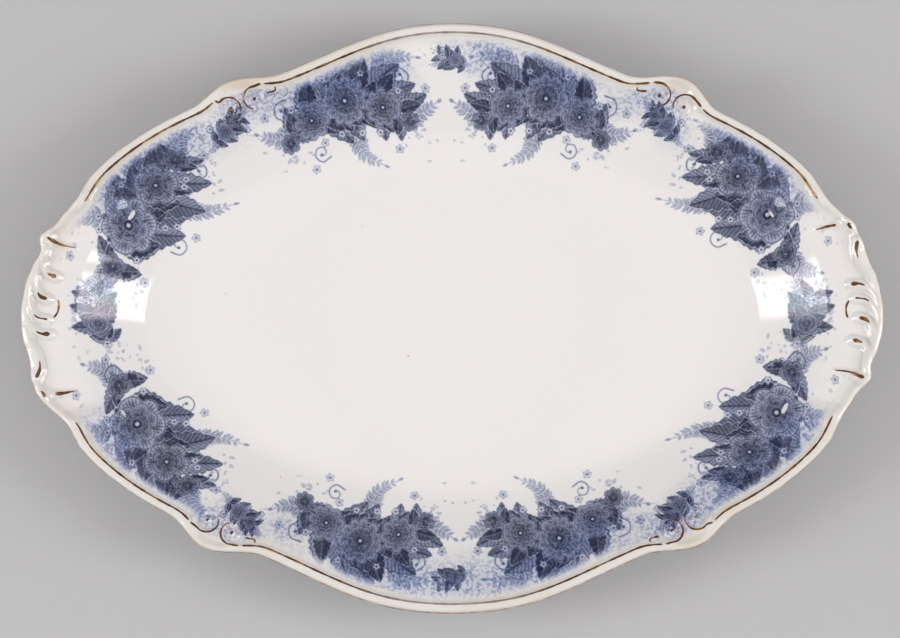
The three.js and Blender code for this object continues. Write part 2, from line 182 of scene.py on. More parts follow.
# Points of a volute at which its gold curl joins it and ends
CURL_JOINS = {"long": 3, "side": 6}
CURL_END = 28

# Gold touches: from the middle of a pearl to an end of its touch, then the places of a hook, as
# degrees past the end of the line and insets
PEARL_TOUCH = np.array([0.7, 0.5])
HOOK = ((1.4, 6.2), (0.9, 8.4), (-0.6, 9.6))

# Printed sprays of one quarter: design, share of the quarter from the end, inset and scale, and
# then how far each quarter's sprays drift round
PRINT_LAYOUT = (("rose", 0.265, 34, 1.08), ("ivy", 0.53, 27, 0.62), ("daisy", 0.775, 34, 1.08))
PRINT_DRIFT = (0.022, 0.008, 0.028, 0.004)

# Corners above and below each end, as seen with that end on the right
END_CORNERS = ((0, 3), (2, 1))

# Flutes of the end shell: share of the way from the lower knob to the upper one and inset of each
# bend, then first and last radius and the width of the gold tip
FLUTES = (
    (((0.16, 3), (0.2, 4), (0.24, 5.8), (0.27, 8.6), (0.285, 13)), 0.8, 1.8, 1.1),
    (((0.25, 2.6), (0.305, 3.8), (0.365, 5.8), (0.41, 8.2), (0.425, 11.6)), 0.8, 1.9, 1.4),
    (((0.36, 2.4), (0.43, 3.2), (0.49, 5), (0.535, 7.6), (0.55, 12.6)), 0.8, 1.7, 0.5),
    (((0.47, 2.4), (0.545, 3.6), (0.605, 5.8), (0.635, 8.8), (0.64, 13)), 0.8, 1.7, 1.2),
    (((0.6, 2.6), (0.68, 3.8), (0.755, 5.2), (0.84, 4.9), (0.9, 2.8)), 0.9, 1.9, 0.9),
)

# Moulded flutes: first and last half-width for each unit of radius, rise per half-width, roundness
FLUTE_SPREAD = (1.9, 1.55)
FLUTE_RISE = (0.64, 0.9)

# The first flutes start further back along the edge: share of the way, inset and how many do
FLUTE_SWEEP = (0.15, 1.9)
SWEPT_FLUTES = 4

# Points of a flute, and the one from which it is gilt
FLUTE_STEPS = 30
FLUTE_GILT = 20

# Gold at the ends, as shares of the way and insets
DAB = ((1.02, 3), (1, 3.4), (0.98, 3))
DASH = ((0.54, 15.2), (0.5, 17), (0.45, 17.2), (0.425, 16.4))

# Buds between the sprays: share of the way round from the right end, inset, scale and mirroring
BUDS = ((0, 35, 1.2, False), (0.25, 17, 0.66, False), (0.5, 35, 1.2, True), (0.75, 17, 0.66, True))

# Lamps in metres and watts: place, on the right for those that come in pairs, width and height,
# and power, then the points that they are aimed at
OVERHEAD = ((0, -0.1, 2.4), (4.4, 4.4), 36)
OVERHEAD_COLOUR = (0.985, 0.945, 0.912)
WINDOW = ((1.672, -0.17, 1.16), (0.85, 1.02), 28)
WINDOW_TINTS = ((0.76, 0.88, 0.9, 1.0), (1.0, 0.83, 0.85, 1.0))
LOW_WINDOW = ((1.45, -0.12, 0.24), (0.4, 0.2), 3.6)
OVERHEAD_TARGET = (0, 0, 0)
WINDOW_TARGET = (0, 0, 0.03)
ROOM_COLOUR = (0.9, 0.87, 0.84, 1)
ROOM_STRENGTH = 0.24

# Camera: the point that it looks at and its distance, both in metres, its elevation and sensor
CAMERA_TARGET = (-0.00106, -0.00122, 0.036)
CAMERA_DISTANCE = 1.5
CAMERA_ELEVATION = 85
SENSOR_WIDTH = 36

# Half the side of the floor
FLOOR_HALF = 3000


def hump(x):
    """A smooth hump, one less x squared, all cubed: 1 at nought, 0 from 1 outwards."""
    return np.clip(1 - x * x, 0, 1) ** 3


def ease(x):
    """A smooth step from 0 at nought to 1 at 1."""
    t = np.clip(x, 0, 1)
    return t * t * (3 - 2 * t)


def smooth_path(points, steps):
    """Even points along a smooth curve through a few plan points.

    Each stretch is a cubic whose slope at a point is half the run between that point's neighbours.
    """
    points = np.asarray(points, float)
    padded = np.vstack([2 * points[0] - points[1], points, 2 * points[-1] - points[-2]])
    fine = []
    for a, b, c, d in zip(padded[:-3], padded[1:-2], padded[2:-1], padded[3:]):
        t = np.linspace(0, 1, 40)[:, None]
        first = 2 * b + (c - a) * t
        second = (2 * a - 5 * b + 4 * c - d) * t**2
        third = (3 * b - a - 3 * c + d) * t**3
        fine.append(0.5 * (first + second + third))
    return resample(np.vstack(fine), steps + 1)


def resample(path, count):
    """The same path as evenly spaced points."""
    steps = np.hypot(*np.diff(path, axis=0).T)
    travelled = np.concatenate([[0], np.cumsum(steps)])
    wanted = np.linspace(0, travelled[-1], count)
    return np.stack([np.interp(wanted, travelled, path[:, i]) for i in range(2)], axis=1)


def path_distance(x, y, path):
    """Distance of plan points from a path, and the share of the path at the nearest place."""
    best = np.full(x.shape, 1e9)
    place = np.zeros(x.shape)
    last = len(path) - 1
    for i, (a, b) in enumerate(zip(path[:-1], path[1:])):
        run = b - a
        share = np.clip(((x - a[0]) * run[0] + (y - a[1]) * run[1]) / (run @ run), 0, 1)
        away = np.hypot(x - a[0] - share * run[0], y - a[1] - share * run[1])
        nearer = away < best
        best = np.where(nearer, away, best)
        place = np.where(nearer, (i + share) / last, place)
    return best, place


class Rim:
    """The platter's surface in millimetres: outline, plain height and moulded relief."""

    def __init__(self, sizes):
        self.half_length = sizes.length / MM / 2
        self.half_width = sizes.width / MM / 2
        self.height = sizes.rim_height / MM
        self.well_x = sizes.well_length / MM / 2
        self.well_y = sizes.well_width / MM / 2
        self.cavetto = sizes.cavetto_width / MM
        self.floor = sizes.floor_thickness / MM
        self.wall = sizes.rim_thickness / MM
        self.foot = sizes.foot_height / MM
        self.tread = sizes.foot_tread / MM
        self.well_top = self.foot + self.floor
        self.rise = self.height - self.well_top
        self.ridges = []
        self.collect_ridges()

    def quarter(self, angle):
        """The quarter of each direction, and its degrees from the long axis."""
        turn = np.mod(angle, 4 * QUARTER)
        index = np.minimum(3, (turn / QUARTER).astype(int))
        over = turn - index * QUARTER
        local = np.where(index % 2 == 0, over, QUARTER - over)
        return index, np.degrees(local)

    def edge(self, angle):
        """Radius of the edge: a full oval with humps added and taken away in each quarter.

        The shoulder's point, the knob and its nib stand out, and a wide hollow and a waist go in.
        """
        angle = np.asarray(angle, float)
        index, degrees = self.quarter(angle)
        across = np.abs(np.cos(angle)) / self.half_length
        up = np.abs(np.sin(angle)) / self.half_width
        oval = (across**OVAL_POWER + up**OVAL_POWER) ** (-1 / OVAL_POWER)
        shoulder = POINT[index] * hump((degrees - SHOULDER[index]) / POINT_REACH)
        hollow = HOLLOW[0] * hump((degrees - SHOULDER[index] - HOLLOW[1]) / HOLLOW[2])
        knob = SWELL[index] * hump((degrees - KNOB[index]) / SWELL_REACH)
        waist = WAIST[0] * hump((degrees - KNOB[index] - WAIST[1]) / WAIST[2])
        off = np.abs(degrees - TIP[index])
        nib = NIB[index] * (hump(off / NIB_REACH) - 0.6 * hump((off - 2.3) / NIB_REACH))
        return oval + shoulder - hollow + knob - waist + nib

    def well(self, angle):
        """Radius of the flat well, an ellipse."""
        return 1 / np.hypot(np.cos(angle) / self.well_x, np.sin(angle) / self.well_y)

    def plain(self, angle, radius):
        """Height of the plain upper surface: flat well, cavetto, open rim."""
        well = self.well(angle)
        out = np.maximum(0, radius - well)
        share = out / (self.edge(angle) - well)
        climb = RIM_SHARE * share**2 + (1 - RIM_SHARE) * ease(out / self.cavetto)
        return self.well_top + self.rise * climb

    def thickness(self, angle, radius):
        """Wall thickness, from the floor's to the rim's."""
        well = self.well(angle)
        share = np.clip((radius - well) / (self.edge(angle) - well), 0, 1)
        return self.floor + (self.wall - self.floor) * share

    def line_strength(self, angle):
        """How strongly the raised line stands: it fades at each shoulder and knob."""
        index, degrees = self.quarter(angle)
        at_shoulder = ease((np.abs(degrees - SHOULDER[index]) - 1.5) / 2)
        at_knob = ease((degrees - KNOB[index] - 3) / 2)
        return at_shoulder * at_knob

    def rim_point(self, degrees, inset):
        """Plan point at a direction and an inset from the edge."""
        angle = np.radians(np.asarray(degrees, float))
        radius = self.edge(angle) - inset
        return np.stack([radius * np.cos(angle), radius * np.sin(angle)], axis=-1)

    def corner_angle(self, corner, degrees):
        """The direction in a corner that lies so many degrees from the long axis."""
        local = math.radians(degrees)
        sign_x, sign_y = CORNER_SIGNS[corner]
        return math.atan2(sign_y * math.sin(local), sign_x * math.cos(local))

    def volute(self, corner, kind):
        """Path of a volute, an arch that tightens into a spiral, and its eye."""
        inset, along, radius, start, turn = VOLUTES[kind]
        local = math.radians(SHOULDER[corner])
        reach = float(self.edge(self.corner_angle(corner, SHOULDER[corner]))) - inset
        centre_x = reach * math.cos(local) - along * math.sin(local)
        centre_y = reach * math.sin(local) + along * math.cos(local)
        share = np.linspace(0, 1, VOLUTE_POINTS)
        angle = math.radians(start) + turn * share * VOLUTE_TURNS * 4 * QUARTER
        arm = radius + (VOLUTE_EYE - radius) * share**1.6
        path = np.stack([centre_x + arm * np.cos(angle), centre_y + arm * np.sin(angle)], axis=1)
        return path * CORNER_SIGNS[corner], np.array([centre_x, centre_y]) * CORNER_SIGNS[corner]

    def fold(self, corner):
        """Short path from a knob inwards, beside the end shell."""
        leans = (0, LEAN[corner], LEAN[corner])
        angles = [math.degrees(self.corner_angle(corner, TIP[corner] + lean)) for lean in leans]
        points = [self.rim_point(angle, inset) for angle, inset in zip(angles, FOLD_INSETS)]
        return smooth_path(points, 18)

    def end_path(self, end, places, steps):
        """Path at the right end, or turned half round at the left one."""
        upper, lower = END_CORNERS[end]
        span = KNOB[upper] + KNOB[lower]
        turn = 180 * end - KNOB[lower]
        points = [self.rim_point(turn + span * share, inset) for share, inset in places]
        return smooth_path(points, steps)

    def collect_ridges(self):
        """Lists every moulding: path, first and last half-width, rise per half-width, roundness."""
        for corner in range(4):
            for kind in VOLUTES:
                path, eye = self.volute(corner, kind)
                self.ridges.append((path, *VOLUTE_RIDGE))
                # A pearl is a ridge of almost no length
                self.ridges.append((np.array([eye, eye * 1.0001]), *PEARL_RIDGE))
            fold = self.fold(corner)
            self.ridges.append((fold, *FOLD_RIDGE))
            self.ridges.append((fold[:2], *KNOB_RIDGE))
        back, inset = FLUTE_SWEEP
        for end in range(2):
            for n, (places, first, last, _) in enumerate(FLUTES):
                tail = ((places[0][0] - back, inset),) if n < SWEPT_FLUTES else ()
                path = self.end_path(end, tail + places, 40)
                spread = first * FLUTE_SPREAD[0], last * FLUTE_SPREAD[1]
                self.ridges.append((path, *spread, *FLUTE_RISE))

    def lip_relief(self, angle, inset):
        """Rounded lip with a fine raised line inside it."""
        lip = LIP_RISE * hump((inset - LIP_INSET) / LIP_REACH)
        line = LINE_RISE * self.line_strength(angle) * hump((inset - LINE_INSET) / LINE_REACH)
        return lip + line

    def shoulder_relief(self, x, y):
        """Low plateau at each shoulder point, with two round bays bitten out of it."""
        total = np.zeros(x.shape)
        inset, width, slope, rise = PLATEAU
        for corner in range(4):
            tip = self.rim_point(math.degrees(self.corner_angle(corner, SHOULDER[corner])), inset)
            reach = ease((width - np.hypot(x - tip[0], y - tip[1])) / slope)
            for kind, (_, _, radius, _, _) in VOLUTES.items():
                _, eye = self.volute(corner, kind)
                reach = reach * ease((np.hypot(x - eye[0], y - eye[1]) - radius + BAY[0]) / BAY[1])
            total = total + rise * reach
        return total

    def scroll_relief(self, x, y):
        """Broad rolled scroll beside each knob."""
        total = np.zeros(x.shape)
        for corner in range(4):
            degrees = math.degrees(self.corner_angle(corner, KNOB[corner] + SCROLL_LEAN))
            path = np.stack([self.rim_point(degrees, inset) for inset in SCROLL_INSETS])
            away, _ = path_distance(x, y, path)
            total = total + SCROLL_RISE * hump(away / SCROLL_REACH)
        return total

    def relief(self, x, y):
        """Height of all the moulding above the plain surface.

        A ridge is an arch across its path, and where mouldings meet the higher one shows.
        """
        angle = np.arctan2(y, x)
        inset = self.edge(angle) - np.hypot(x, y)
        height = self.lip_relief(angle, inset)
        near_rim = inset < RELIEF_ZONE
        px = x[near_rim]
        py = y[near_rim]
        low = np.maximum(self.shoulder_relief(px, py), self.scroll_relief(px, py))
        proud = np.zeros(px.shape)
        for path, first, last, rise, roundness in self.ridges:
            reach = max(first, last)
            inside = (px > path[:, 0].min() - reach) & (px < path[:, 0].max() + reach)
            inside &= (py > path[:, 1].min() - reach) & (py < path[:, 1].max() + reach)
            away, share = path_distance(px[inside], py[inside], path)
            half = first + (last - first) * share
            arch = np.clip(1 - (away / half) ** 2, 0, 1) ** roundness
            proud[inside] = np.maximum(proud[inside], rise * half * arch)
        height[near_rim] += np.maximum(low, proud) + OVERLAP_SHARE * np.minimum(low, proud)
        return height

    def surface(self, x, y):
        """Height of the finished upper surface over plan points."""
        angle = np.arctan2(y, x)
        return self.plain(angle, np.hypot(x, y)) + self.relief(x, y)


# Meshes


def make_object(name, points, corners, starts, smooth=True):
    """Object from points in millimetres, the point of every face corner and each face's start."""
    mesh = bpy.data.meshes.new(name)
    mesh.vertices.add(len(points))
    mesh.vertices.foreach_set("co", (np.asarray(points) * MM).astype(np.float32).ravel())
    mesh.loops.add(len(corners))
    mesh.loops.foreach_set("vertex_index", corners.astype(np.int32))
    mesh.polygons.add(len(starts))
    mesh.polygons.foreach_set("loop_start", starts.astype(np.int32))
    mesh.update(calc_edges=True)
    mesh.polygons.foreach_set("use_smooth", np.full(len(starts), smooth))
    made = bpy.data.objects.new(name, mesh)
    bpy.context.scene.collection.objects.link(made)
    return made


def set_uv(mesh, name, values):
    """Adds a UV map from one pair per face corner."""
    layer = mesh.uv_layers.new(name=name)
    layer.uv.foreach_set("vector", values.astype(np.float32).ravel())


def set_attribute(mesh, name, values):
    """Adds one number per point."""
    layer = mesh.attributes.new(name, "FLOAT", "POINT")
    layer.data.foreach_set("value", values.astype(np.float32))


def ring_faces(rows, columns):
    """Face corners of rings closed round and capped by a pole at each end.

    Gives for every corner its ring and column, the pole rings being -1 and rows.
    """
    i, j = np.meshgrid(np.arange(rows - 1), np.arange(columns), indexing="ij")
    quads_ring = np.stack([i, i + 1, i + 1, i], axis=-1).reshape(-1, 4)
    quads_column = np.stack([j, j, j + 1, j + 1], axis=-1).reshape(-1, 4)
    k = np.arange(columns)
    none = np.full(columns, -1)
    first = np.zeros(columns, int)
    last = np.full(columns, rows - 1)
    beyond = np.full(columns, rows)
    cap_ring = np.concatenate([np.stack([none, first, first], 1), np.stack([beyond, last, last], 1)])
    cap_column = np.concatenate([np.stack([k, k, k + 1], 1), np.stack([k, k + 1, k], 1)])
    ring = np.concatenate([quads_ring.ravel(), cap_ring.ravel()])
    column = np.concatenate([quads_column.ravel(), cap_column.ravel()])
    quads = len(quads_ring)
    starts = np.concatenate([np.arange(quads) * 4, quads * 4 + np.arange(len(cap_ring)) * 3])
    return ring, column, starts


def ring_object(name, rings, first, last):
    """Closed object from rings (ring, column, xyz) and two poles, with corner rings and columns."""
    rows, columns = rings.shape[:2]
    ring, column, starts = ring_faces(rows, columns)
    point = 1 + ring * columns + column % columns
    point = np.where(ring < 0, 0, np.where(ring >= rows, rows * columns + 1, point))
    points = np.vstack([first, rings.reshape(-1, 3), last])
    return make_object(name, points, point, starts), ring, column


def column_angles(rim):
    """Directions of the body's columns, closer together at the shoulders and the ends."""
    fine = 1800
    angle = np.linspace(0, 4 * QUARTER, 4 * fine + 1)
    radius = rim.edge(angle)
    steps = np.hypot(np.diff(radius * np.cos(angle)), np.diff(radius * np.sin(angle)))
    index, degrees = rim.quarter((angle[:-1] + angle[1:]) / 2)
    weight = 1 + 1.1 * hump((degrees - SHOULDER[index]) / 11) + 0.9 * hump(degrees / 20)
    travelled = np.concatenate([[0], np.cumsum(steps * weight)])
    made = []
    for quarter in range(4):
        part = slice(quarter * fine, (quarter + 1) * fine + 1)
        wanted = np.linspace(travelled[part][0], travelled[part][-1], BODY_COLUMNS // 4 + 1)[:-1]
        made.append(np.interp(wanted, travelled[part], angle[part]))
    return np.concatenate(made)


def body_rings(rim, angle):
    """Rings of the body, from the middle of the well over the rim and back under to the foot.

    Each ring is a radius and a height for every direction. Over the rim the radius is the edge's
    less an inset, and the height the plain surface's plus the relief.
    """
    edge = rim.edge(angle)
    well = rim.well(angle)
    cos = np.cos(angle)
    sin = np.sin(angle)
    rings = []
    edge_distance = []
    for share in WELL_SHARES:
        rings.append((well * share, np.full(angle.shape, rim.well_top)))
        edge_distance.append(edge - well * share)
    for share in np.linspace(0, 1, CAVETTO_RINGS)[1:-1]:
        radius = well + (edge - RIM_ZONE - well) * share
        rings.append((radius, rim.surface(radius * cos, radius * sin)))
        edge_distance.append(edge - radius)
    for inset in np.linspace(RIM_ZONE, LIP_INSET, RIM_RINGS):
        radius = edge - inset
        rings.append((radius, rim.surface(radius * cos, radius * sin)))
        edge_distance.append(np.full(angle.shape, inset))
    crest = rings[-1][1]
    below = rim.plain(angle, edge - LIP_INSET) - rim.wall
    for turn in np.linspace(90, -90, LIP_RINGS)[1:-1]:
        bend = math.radians(turn)
        height = (crest + below) / 2 + (crest - below) / 2 * math.sin(bend)
        rings.append((edge - LIP_INSET * (1 - math.cos(bend)), height))
        edge_distance.append(np.full(angle.shape, LIP_INSET * abs(bend)))
    # The upper side ends halfway round the lip
    top_count = len(rings) - LIP_RINGS // 2
    for share in UNDER_SHARES:
        radius = well + (edge - well) * share
        rings.append((radius, rim.plain(angle, radius) - rim.thickness(angle, radius)))
        edge_distance.append(edge - radius)
    half = rim.tread / 2
    foot = well + 1.5
    outer = foot + half + 1
    outer_top = rim.plain(angle, outer) - rim.thickness(angle, outer)
    # Down the outer side of the foot ring, across its tread and up to the floor
    profile = (
        (outer + 2.2, rim.plain(angle, outer + 2.2) - rim.thickness(angle, outer + 2.2)),
        (outer + 0.3, outer_top - 0.4),
        (foot + half + 0.25, np.full(angle.shape, 1.1)),
        (foot + half - 0.1, np.full(angle.shape, 0.35)),
        (foot + half - 0.8, np.zeros(angle.shape)),
        (foot - half + 0.8, np.zeros(angle.shape)),
        (foot - half + 0.1, np.full(angle.shape, 0.35)),
        (foot - half - 0.3, np.full(angle.shape, 1.2)),
        (foot - half - 0.8, np.full(angle.shape, rim.foot - 0.5)),
        (foot - half - 2.4, np.full(angle.shape, rim.foot)),
        ((foot - half) * 0.6, np.full(angle.shape, rim.foot + DOME / 2)),
    )
    for radius, height in profile:
        rings.append((radius, height))
        edge_distance.append(edge - radius)
    radius = np.array([r for r, _ in rings])
    height = np.array([h for _, h in rings])
    points = np.stack([radius * cos, radius * sin, height], axis=-1)
    return points, np.array(edge_distance), top_count


def hollow_depth(relief):
    """Share from 0 to 1 by which each place of the ring grid lies below its neighbours.

    The neighbours' mean is taken over seven columns and then five rings.
    """
    mean = sum(np.roll(relief, shift, axis=1) for shift in range(-3, 4)) / 7
    padded = np.pad(mean, ((2, 2), (0, 0)), "edge")
    mean = sum(padded[shift : shift + len(relief)] for shift in range(5)) / 5
    return ease((mean - relief - 0.02) / 0.42)


def body_maps(points, top_count, angle, edge_distance, ring, column):
    """UV maps of the body: rim lengths for the shader, and a polar sheet of each side for baking.

    A polar sheet lays each place out at its direction and its arc length from the pole. The
    underside's sheet is mirrored and flattened, to fit beside the upper side's.
    """
    rows, columns = points.shape[:2]
    around = np.append(np.arange(columns), 0)
    gaps = np.linalg.norm(np.diff(points[top_count][around], axis=0), axis=1)
    travelled = np.concatenate([[0], np.cumsum(gaps)])
    inset = np.vstack([edge_distance, edge_distance[-1:], edge_distance[:1]])
    rim_map = np.stack([travelled[column] / 100, inset[ring, column % columns] / 100], axis=-1)
    radius = np.hypot(points[..., 0], points[..., 1])
    heading = np.stack([np.cos(angle), np.sin(angle)], axis=-1)[around]
    scale = 0.5 / SHEET_REACH
    upper = slice(0, top_count + 1), -1, (1, 1), (0.5, 0.335)
    under = slice(rows - 1, top_count - 1, -1), rows, (-1, 0.42), (0.5, 0.838)
    sheets = []
    # Rings, pole, stretch and middle of each sheet
    for part, pole, stretch, middle in (upper, under):
        run = np.diff(radius[part], axis=0, prepend=0)
        climb = np.diff(points[part][..., 2], axis=0, prepend=points[part][:1, :, 2])
        arc = np.cumsum(np.hypot(run, climb), axis=0)[:, around]
        sheet = np.zeros((rows + 2, columns + 1, 2))
        sheet[part] = middle + arc[..., None] * heading * scale * stretch
        sheet[pole] = middle
        sheets.append(sheet[ring, column])
    return rim_map, *sheets


def body_wear_and_shade(rim, angle, points, top_count):
    """Numbers on the body's points for its glaze: upper side, printed lobe, age stains, and hollow, the
    mask of the painted shade.
    """
    index, degrees = rim.quarter(angle)
    upper = np.repeat(np.arange(len(points)) <= top_count, len(angle)).astype(float)
    lobe = np.tile(ease((degrees - KNOB[index] - 2) / 6), len(points)) * upper
    stained = SHOULDER_AGE[index] * hump((degrees - SHOULDER[index]) / 15)
    age = np.tile(0.14 + stained, len(points))
    radius = np.hypot(points[..., 0], points[..., 1])
    # How far a place lies below its neighbours masks the grey painted shade beside the mouldings
    hollow = hollow_depth(points[..., 2] - rim.plain(angle, radius)).ravel() * upper
    values = {"upper": (1, upper), "lobe": (1, lobe), "age": (0, age), "hollow": (0, hollow)}
    return {name: np.concatenate([[pole], rest, [0]]) for name, (pole, rest) in values.items()}


# Materials


class Socket:
    """A shader socket whose arithmetic adds Math nodes to its tree."""

    def __init__(self, graph, socket):
        self.graph = graph
        self.socket = socket

    def math(self, operation, *values):
        """A Math node over the values."""
        sockets = dict(enumerate(values))
        return self.graph.node("ShaderNodeMath", {"operation": operation}, sockets)

    def __add__(self, other):
        return self.math("ADD", self, other)

    def __radd__(self, other):
        return self.math("ADD", other, self)

    def __sub__(self, other):
        return self.math("SUBTRACT", self, other)

    def __rsub__(self, other):
        return self.math("SUBTRACT", other, self)

    def __mul__(self, other):
        return self.math("MULTIPLY", self, other)

    def __rmul__(self, other):
        return self.math("MULTIPLY", other, self)

    def step(self, low, high):
        """Smooth step from 0 at low to 1 at high."""
        settings = {"interpolation_type": "SMOOTHSTEP"}
        sockets = {"Value": self, "From Min": low, "From Max": high}
        return self.graph.node("ShaderNodeMapRange", settings, sockets)


class Graph:
    """Node tree of a material or lamp."""

    def __init__(self, owner):
        self.owner = owner
        owner.use_nodes = True
        self.tree = owner.node_tree
        self.tree.nodes.clear()

    def node(self, kind, settings, sockets, output=0):
        """Adds a node of a kind with its settings and its sockets' values or links."""
        made = self.tree.nodes.new(kind)
        for key, value in settings.items():
            setattr(made, key, value)
        for key, value in sockets.items():
            target = made.inputs[key]
            if isinstance(value, Socket):
                self.tree.links.new(value.socket, target)
            else:
                target.default_value = value
        return Socket(self, made.outputs[output]) if made.outputs else None

    def place(self):
        """Object coordinates in metres."""
        return self.node("ShaderNodeTexCoord", {}, {}, "Object")

    def uv(self, name):
        """A UV map of the mesh."""
        return self.node("ShaderNodeUVMap", {"uv_map": name}, {})

    def attribute(self, name):
        """A number kept on the mesh's points."""
        return self.node("ShaderNodeAttribute", {"attribute_name": name}, {}, "Fac")

    def split(self, vector, axis):
        """One coordinate of a vector."""
        return self.node("ShaderNodeSeparateXYZ", {}, {"Vector": vector}, axis)

    def noise(self, vector, scale, detail):
        """Clouds from 0 to 1."""
        sockets = {"Vector": vector, "Scale": scale, "Detail": detail}
        return self.node("ShaderNodeTexNoise", {}, sockets)

    def cells(self, vector, scale):
        """Distance from the middle of the nearest cell."""
        sockets = {"Vector": vector, "Scale": scale}
        return self.node("ShaderNodeTexVoronoi", {}, sockets, "Distance")

    def mix(self, factor, first, second):
        """Colour between two colours."""
        sockets = {0: factor, 6: first, 7: second}
        return self.node("ShaderNodeMix", {"data_type": "RGBA"}, sockets, 2)

    def bump(self, height, distance):
        """A normal tilted by a height over a distance in metres."""
        sockets = {"Height": height, "Distance": distance, "Strength": 1.0}
        return self.node("ShaderNodeBump", {}, sockets)

    def finish(self, sockets):
        """Adds the surface shader and the output."""
        shader = self.node("ShaderNodeBsdfPrincipled", {}, sockets)
        self.node("ShaderNodeOutputMaterial", {}, {"Surface": shader})
        return self.owner


def solid(colour):
    """A colour property as a socket value."""
    return (colour[0], colour[1], colour[2], 1.0)


def glaze_material(colours):
    """Warm white glaze, creamier towards the edge, and grey beside the mouldings as painted shade
    together with glaze pooling there.

    Over it lie age stains near the shoulders, the pale ground of the print, rust specks, worn gold
    on the outer edge and bare clay on the tread of the foot.
    """
    graph = Graph(bpy.data.materials.new("clear_glaze"))
    place = graph.place()
    rim_map = graph.uv("RimMap")
    inset = graph.split(rim_map, "Y") * 100
    height = graph.split(place, "Z")
    cloud = graph.noise(place, 9.0, 3.0)
    near_edge = (1 - inset.step(5.0, 13.0)) * 0.75 + (1 - inset.step(10.0, 46.0)) * 0.25
    cream = near_edge + (cloud - 0.5) * 0.4
    colour = graph.mix(cream.step(0.0, 1.0), solid(colours.glaze), solid(colours.rim_glaze))
    stain_cloud = graph.noise(place, 21.0, 4.0)
    stain = stain_cloud.step(0.43, 0.66) * (1 - inset.step(4.0, 24.0))
    lobe = graph.attribute("lobe")
    age = graph.attribute("age")
    colour = graph.mix(stain * age, colour, solid(colours.stain))
    # Painted shade: grey laid in the hollows beside the mouldings, partly standing for glaze pooling
    # there
    colour = graph.mix(graph.attribute("hollow") * 0.27, colour, solid(colours.pooled_glaze_and_shade))
    patches = graph.noise(place, 24.0, 2.0)
    band = inset.step(5.5, 10.0) * (1 - inset.step(14.0, 34.0))
    band = band * patches.step(0.32, 0.54) * lobe * (1.1 - age * 0.2)
    fine = graph.noise(place, 620.0, 2.0)
    colour = graph.mix(band * 0.34, colour, solid(colours.print_light))
    colour = graph.mix(band * fine.step(0.47, 0.6) * 0.5, colour, solid(colours.print_mid))
    speck_cells = graph.cells(place, 45.0)
    speck = 1 - speck_cells.step(0.012, 0.03)
    colour = graph.mix(speck * 0.55, colour, solid(colours.rust))
    worn = graph.noise(place, 160.0, 3.0)
    gold_line = (1 - inset.step(1.4, 2.1)) * (0.45 + worn.step(0.35, 0.6) * 0.55)
    colour = graph.mix(gold_line * graph.attribute("upper") * 0.8, colour, solid(colours.edge_gold))
    tread = 1 - height.step(0.0002, 0.0007)
    colour = graph.mix(tread * 0.85, colour, solid(colours.biscuit))
    peel = graph.noise(place, 260.0, 1.0)
    ripple = graph.noise(place, 42.0, 2.0)
    normal = graph.bump(peel * 0.2 + ripple, 0.00005)
    roughness = 0.035 + cloud * 0.03 + tread * 0.6 + stain * 0.05
    return graph.finish(
        {
            "Base Color": colour,
            "Roughness": roughness,
            "Normal": normal,
            "IOR": 1.5,
        }
    )


def print_material(colours):
    """Cobalt ink under the glaze: coverage and depth come from the painted tone."""
    graph = Graph(bpy.data.materials.new("underglaze_print"))
    place = graph.place()
    tone = graph.attribute("ink")
    mottle = graph.noise(place, 420.0, 3.0)
    flow = graph.noise(place, 55.0, 2.0)
    depth = tone + (mottle - 0.5) * 0.22 + (flow - 0.5) * 0.22
    colour = graph.mix(depth.step(0.1, 0.62), solid(colours.print_light), solid(colours.print_mid))
    colour = graph.mix(depth.step(0.48, 0.88), colour, solid(colours.print_dark))
    alpha = tone.step(0.0, 0.95) * (0.84 + mottle * 0.2)
    roughness = 0.035 + flow * 0.03
    return graph.finish(
        {
            "Base Color": colour,
            "Alpha": alpha,
            "Roughness": roughness,
            "IOR": 1.5,
        }
    )


def gold_material(colours):
    """Burnished gold, worn to brown on the crests, with bright flecks left in it."""
    graph = Graph(bpy.data.materials.new("worn_gilding"))
    place = graph.place()
    grain = graph.noise(place, 520.0, 3.0)
    wear = graph.noise(place, 140.0, 3.0)
    bright = wear.step(0.49, 0.72)
    colour = graph.mix(bright, solid(colours.gold_dark), solid(colours.gold))
    colour = graph.mix(grain.step(0.55, 0.8) * 0.5, colour, solid(colours.gold_dark))
    gone = graph.noise(place, 260.0, 4.0)
    across = graph.split(place, "X")
    rubbed = 1 - (across * across).step(0.0003, 0.0035)
    alpha = (1 - gone.step(0.7, 0.78)) * (1 - rubbed * (0.3 + wear * 0.6))
    roughness = 0.5 - bright * 0.22 + grain * 0.1
    metallic = 0.55 + bright * 0.4
    normal = graph.bump(grain, 0.00004)
    return graph.finish(
        {
            "Base Color": colour,
            "Alpha": alpha,
            "Roughness": roughness,
            "Metallic": metallic,
            "Normal": normal,
        }
    )


def floor_material(colours):
    """Matt pale floor with a slight mottle."""
    graph = Graph(bpy.data.materials.new("pale_floor"))
    place = graph.place()
    cloud = graph.noise(place, 6.0, 2.0)
    colour = graph.mix(cloud * 0.25, solid(colours.floor), solid(colours.floor_shade))
    return graph.finish({"Base Color": colour, "Roughness": 0.85})


def stored_material(name, make, colours):
    """A material made once and shared by like pieces."""
    return bpy.data.materials.get(name) or make(colours)


# Gold strokes


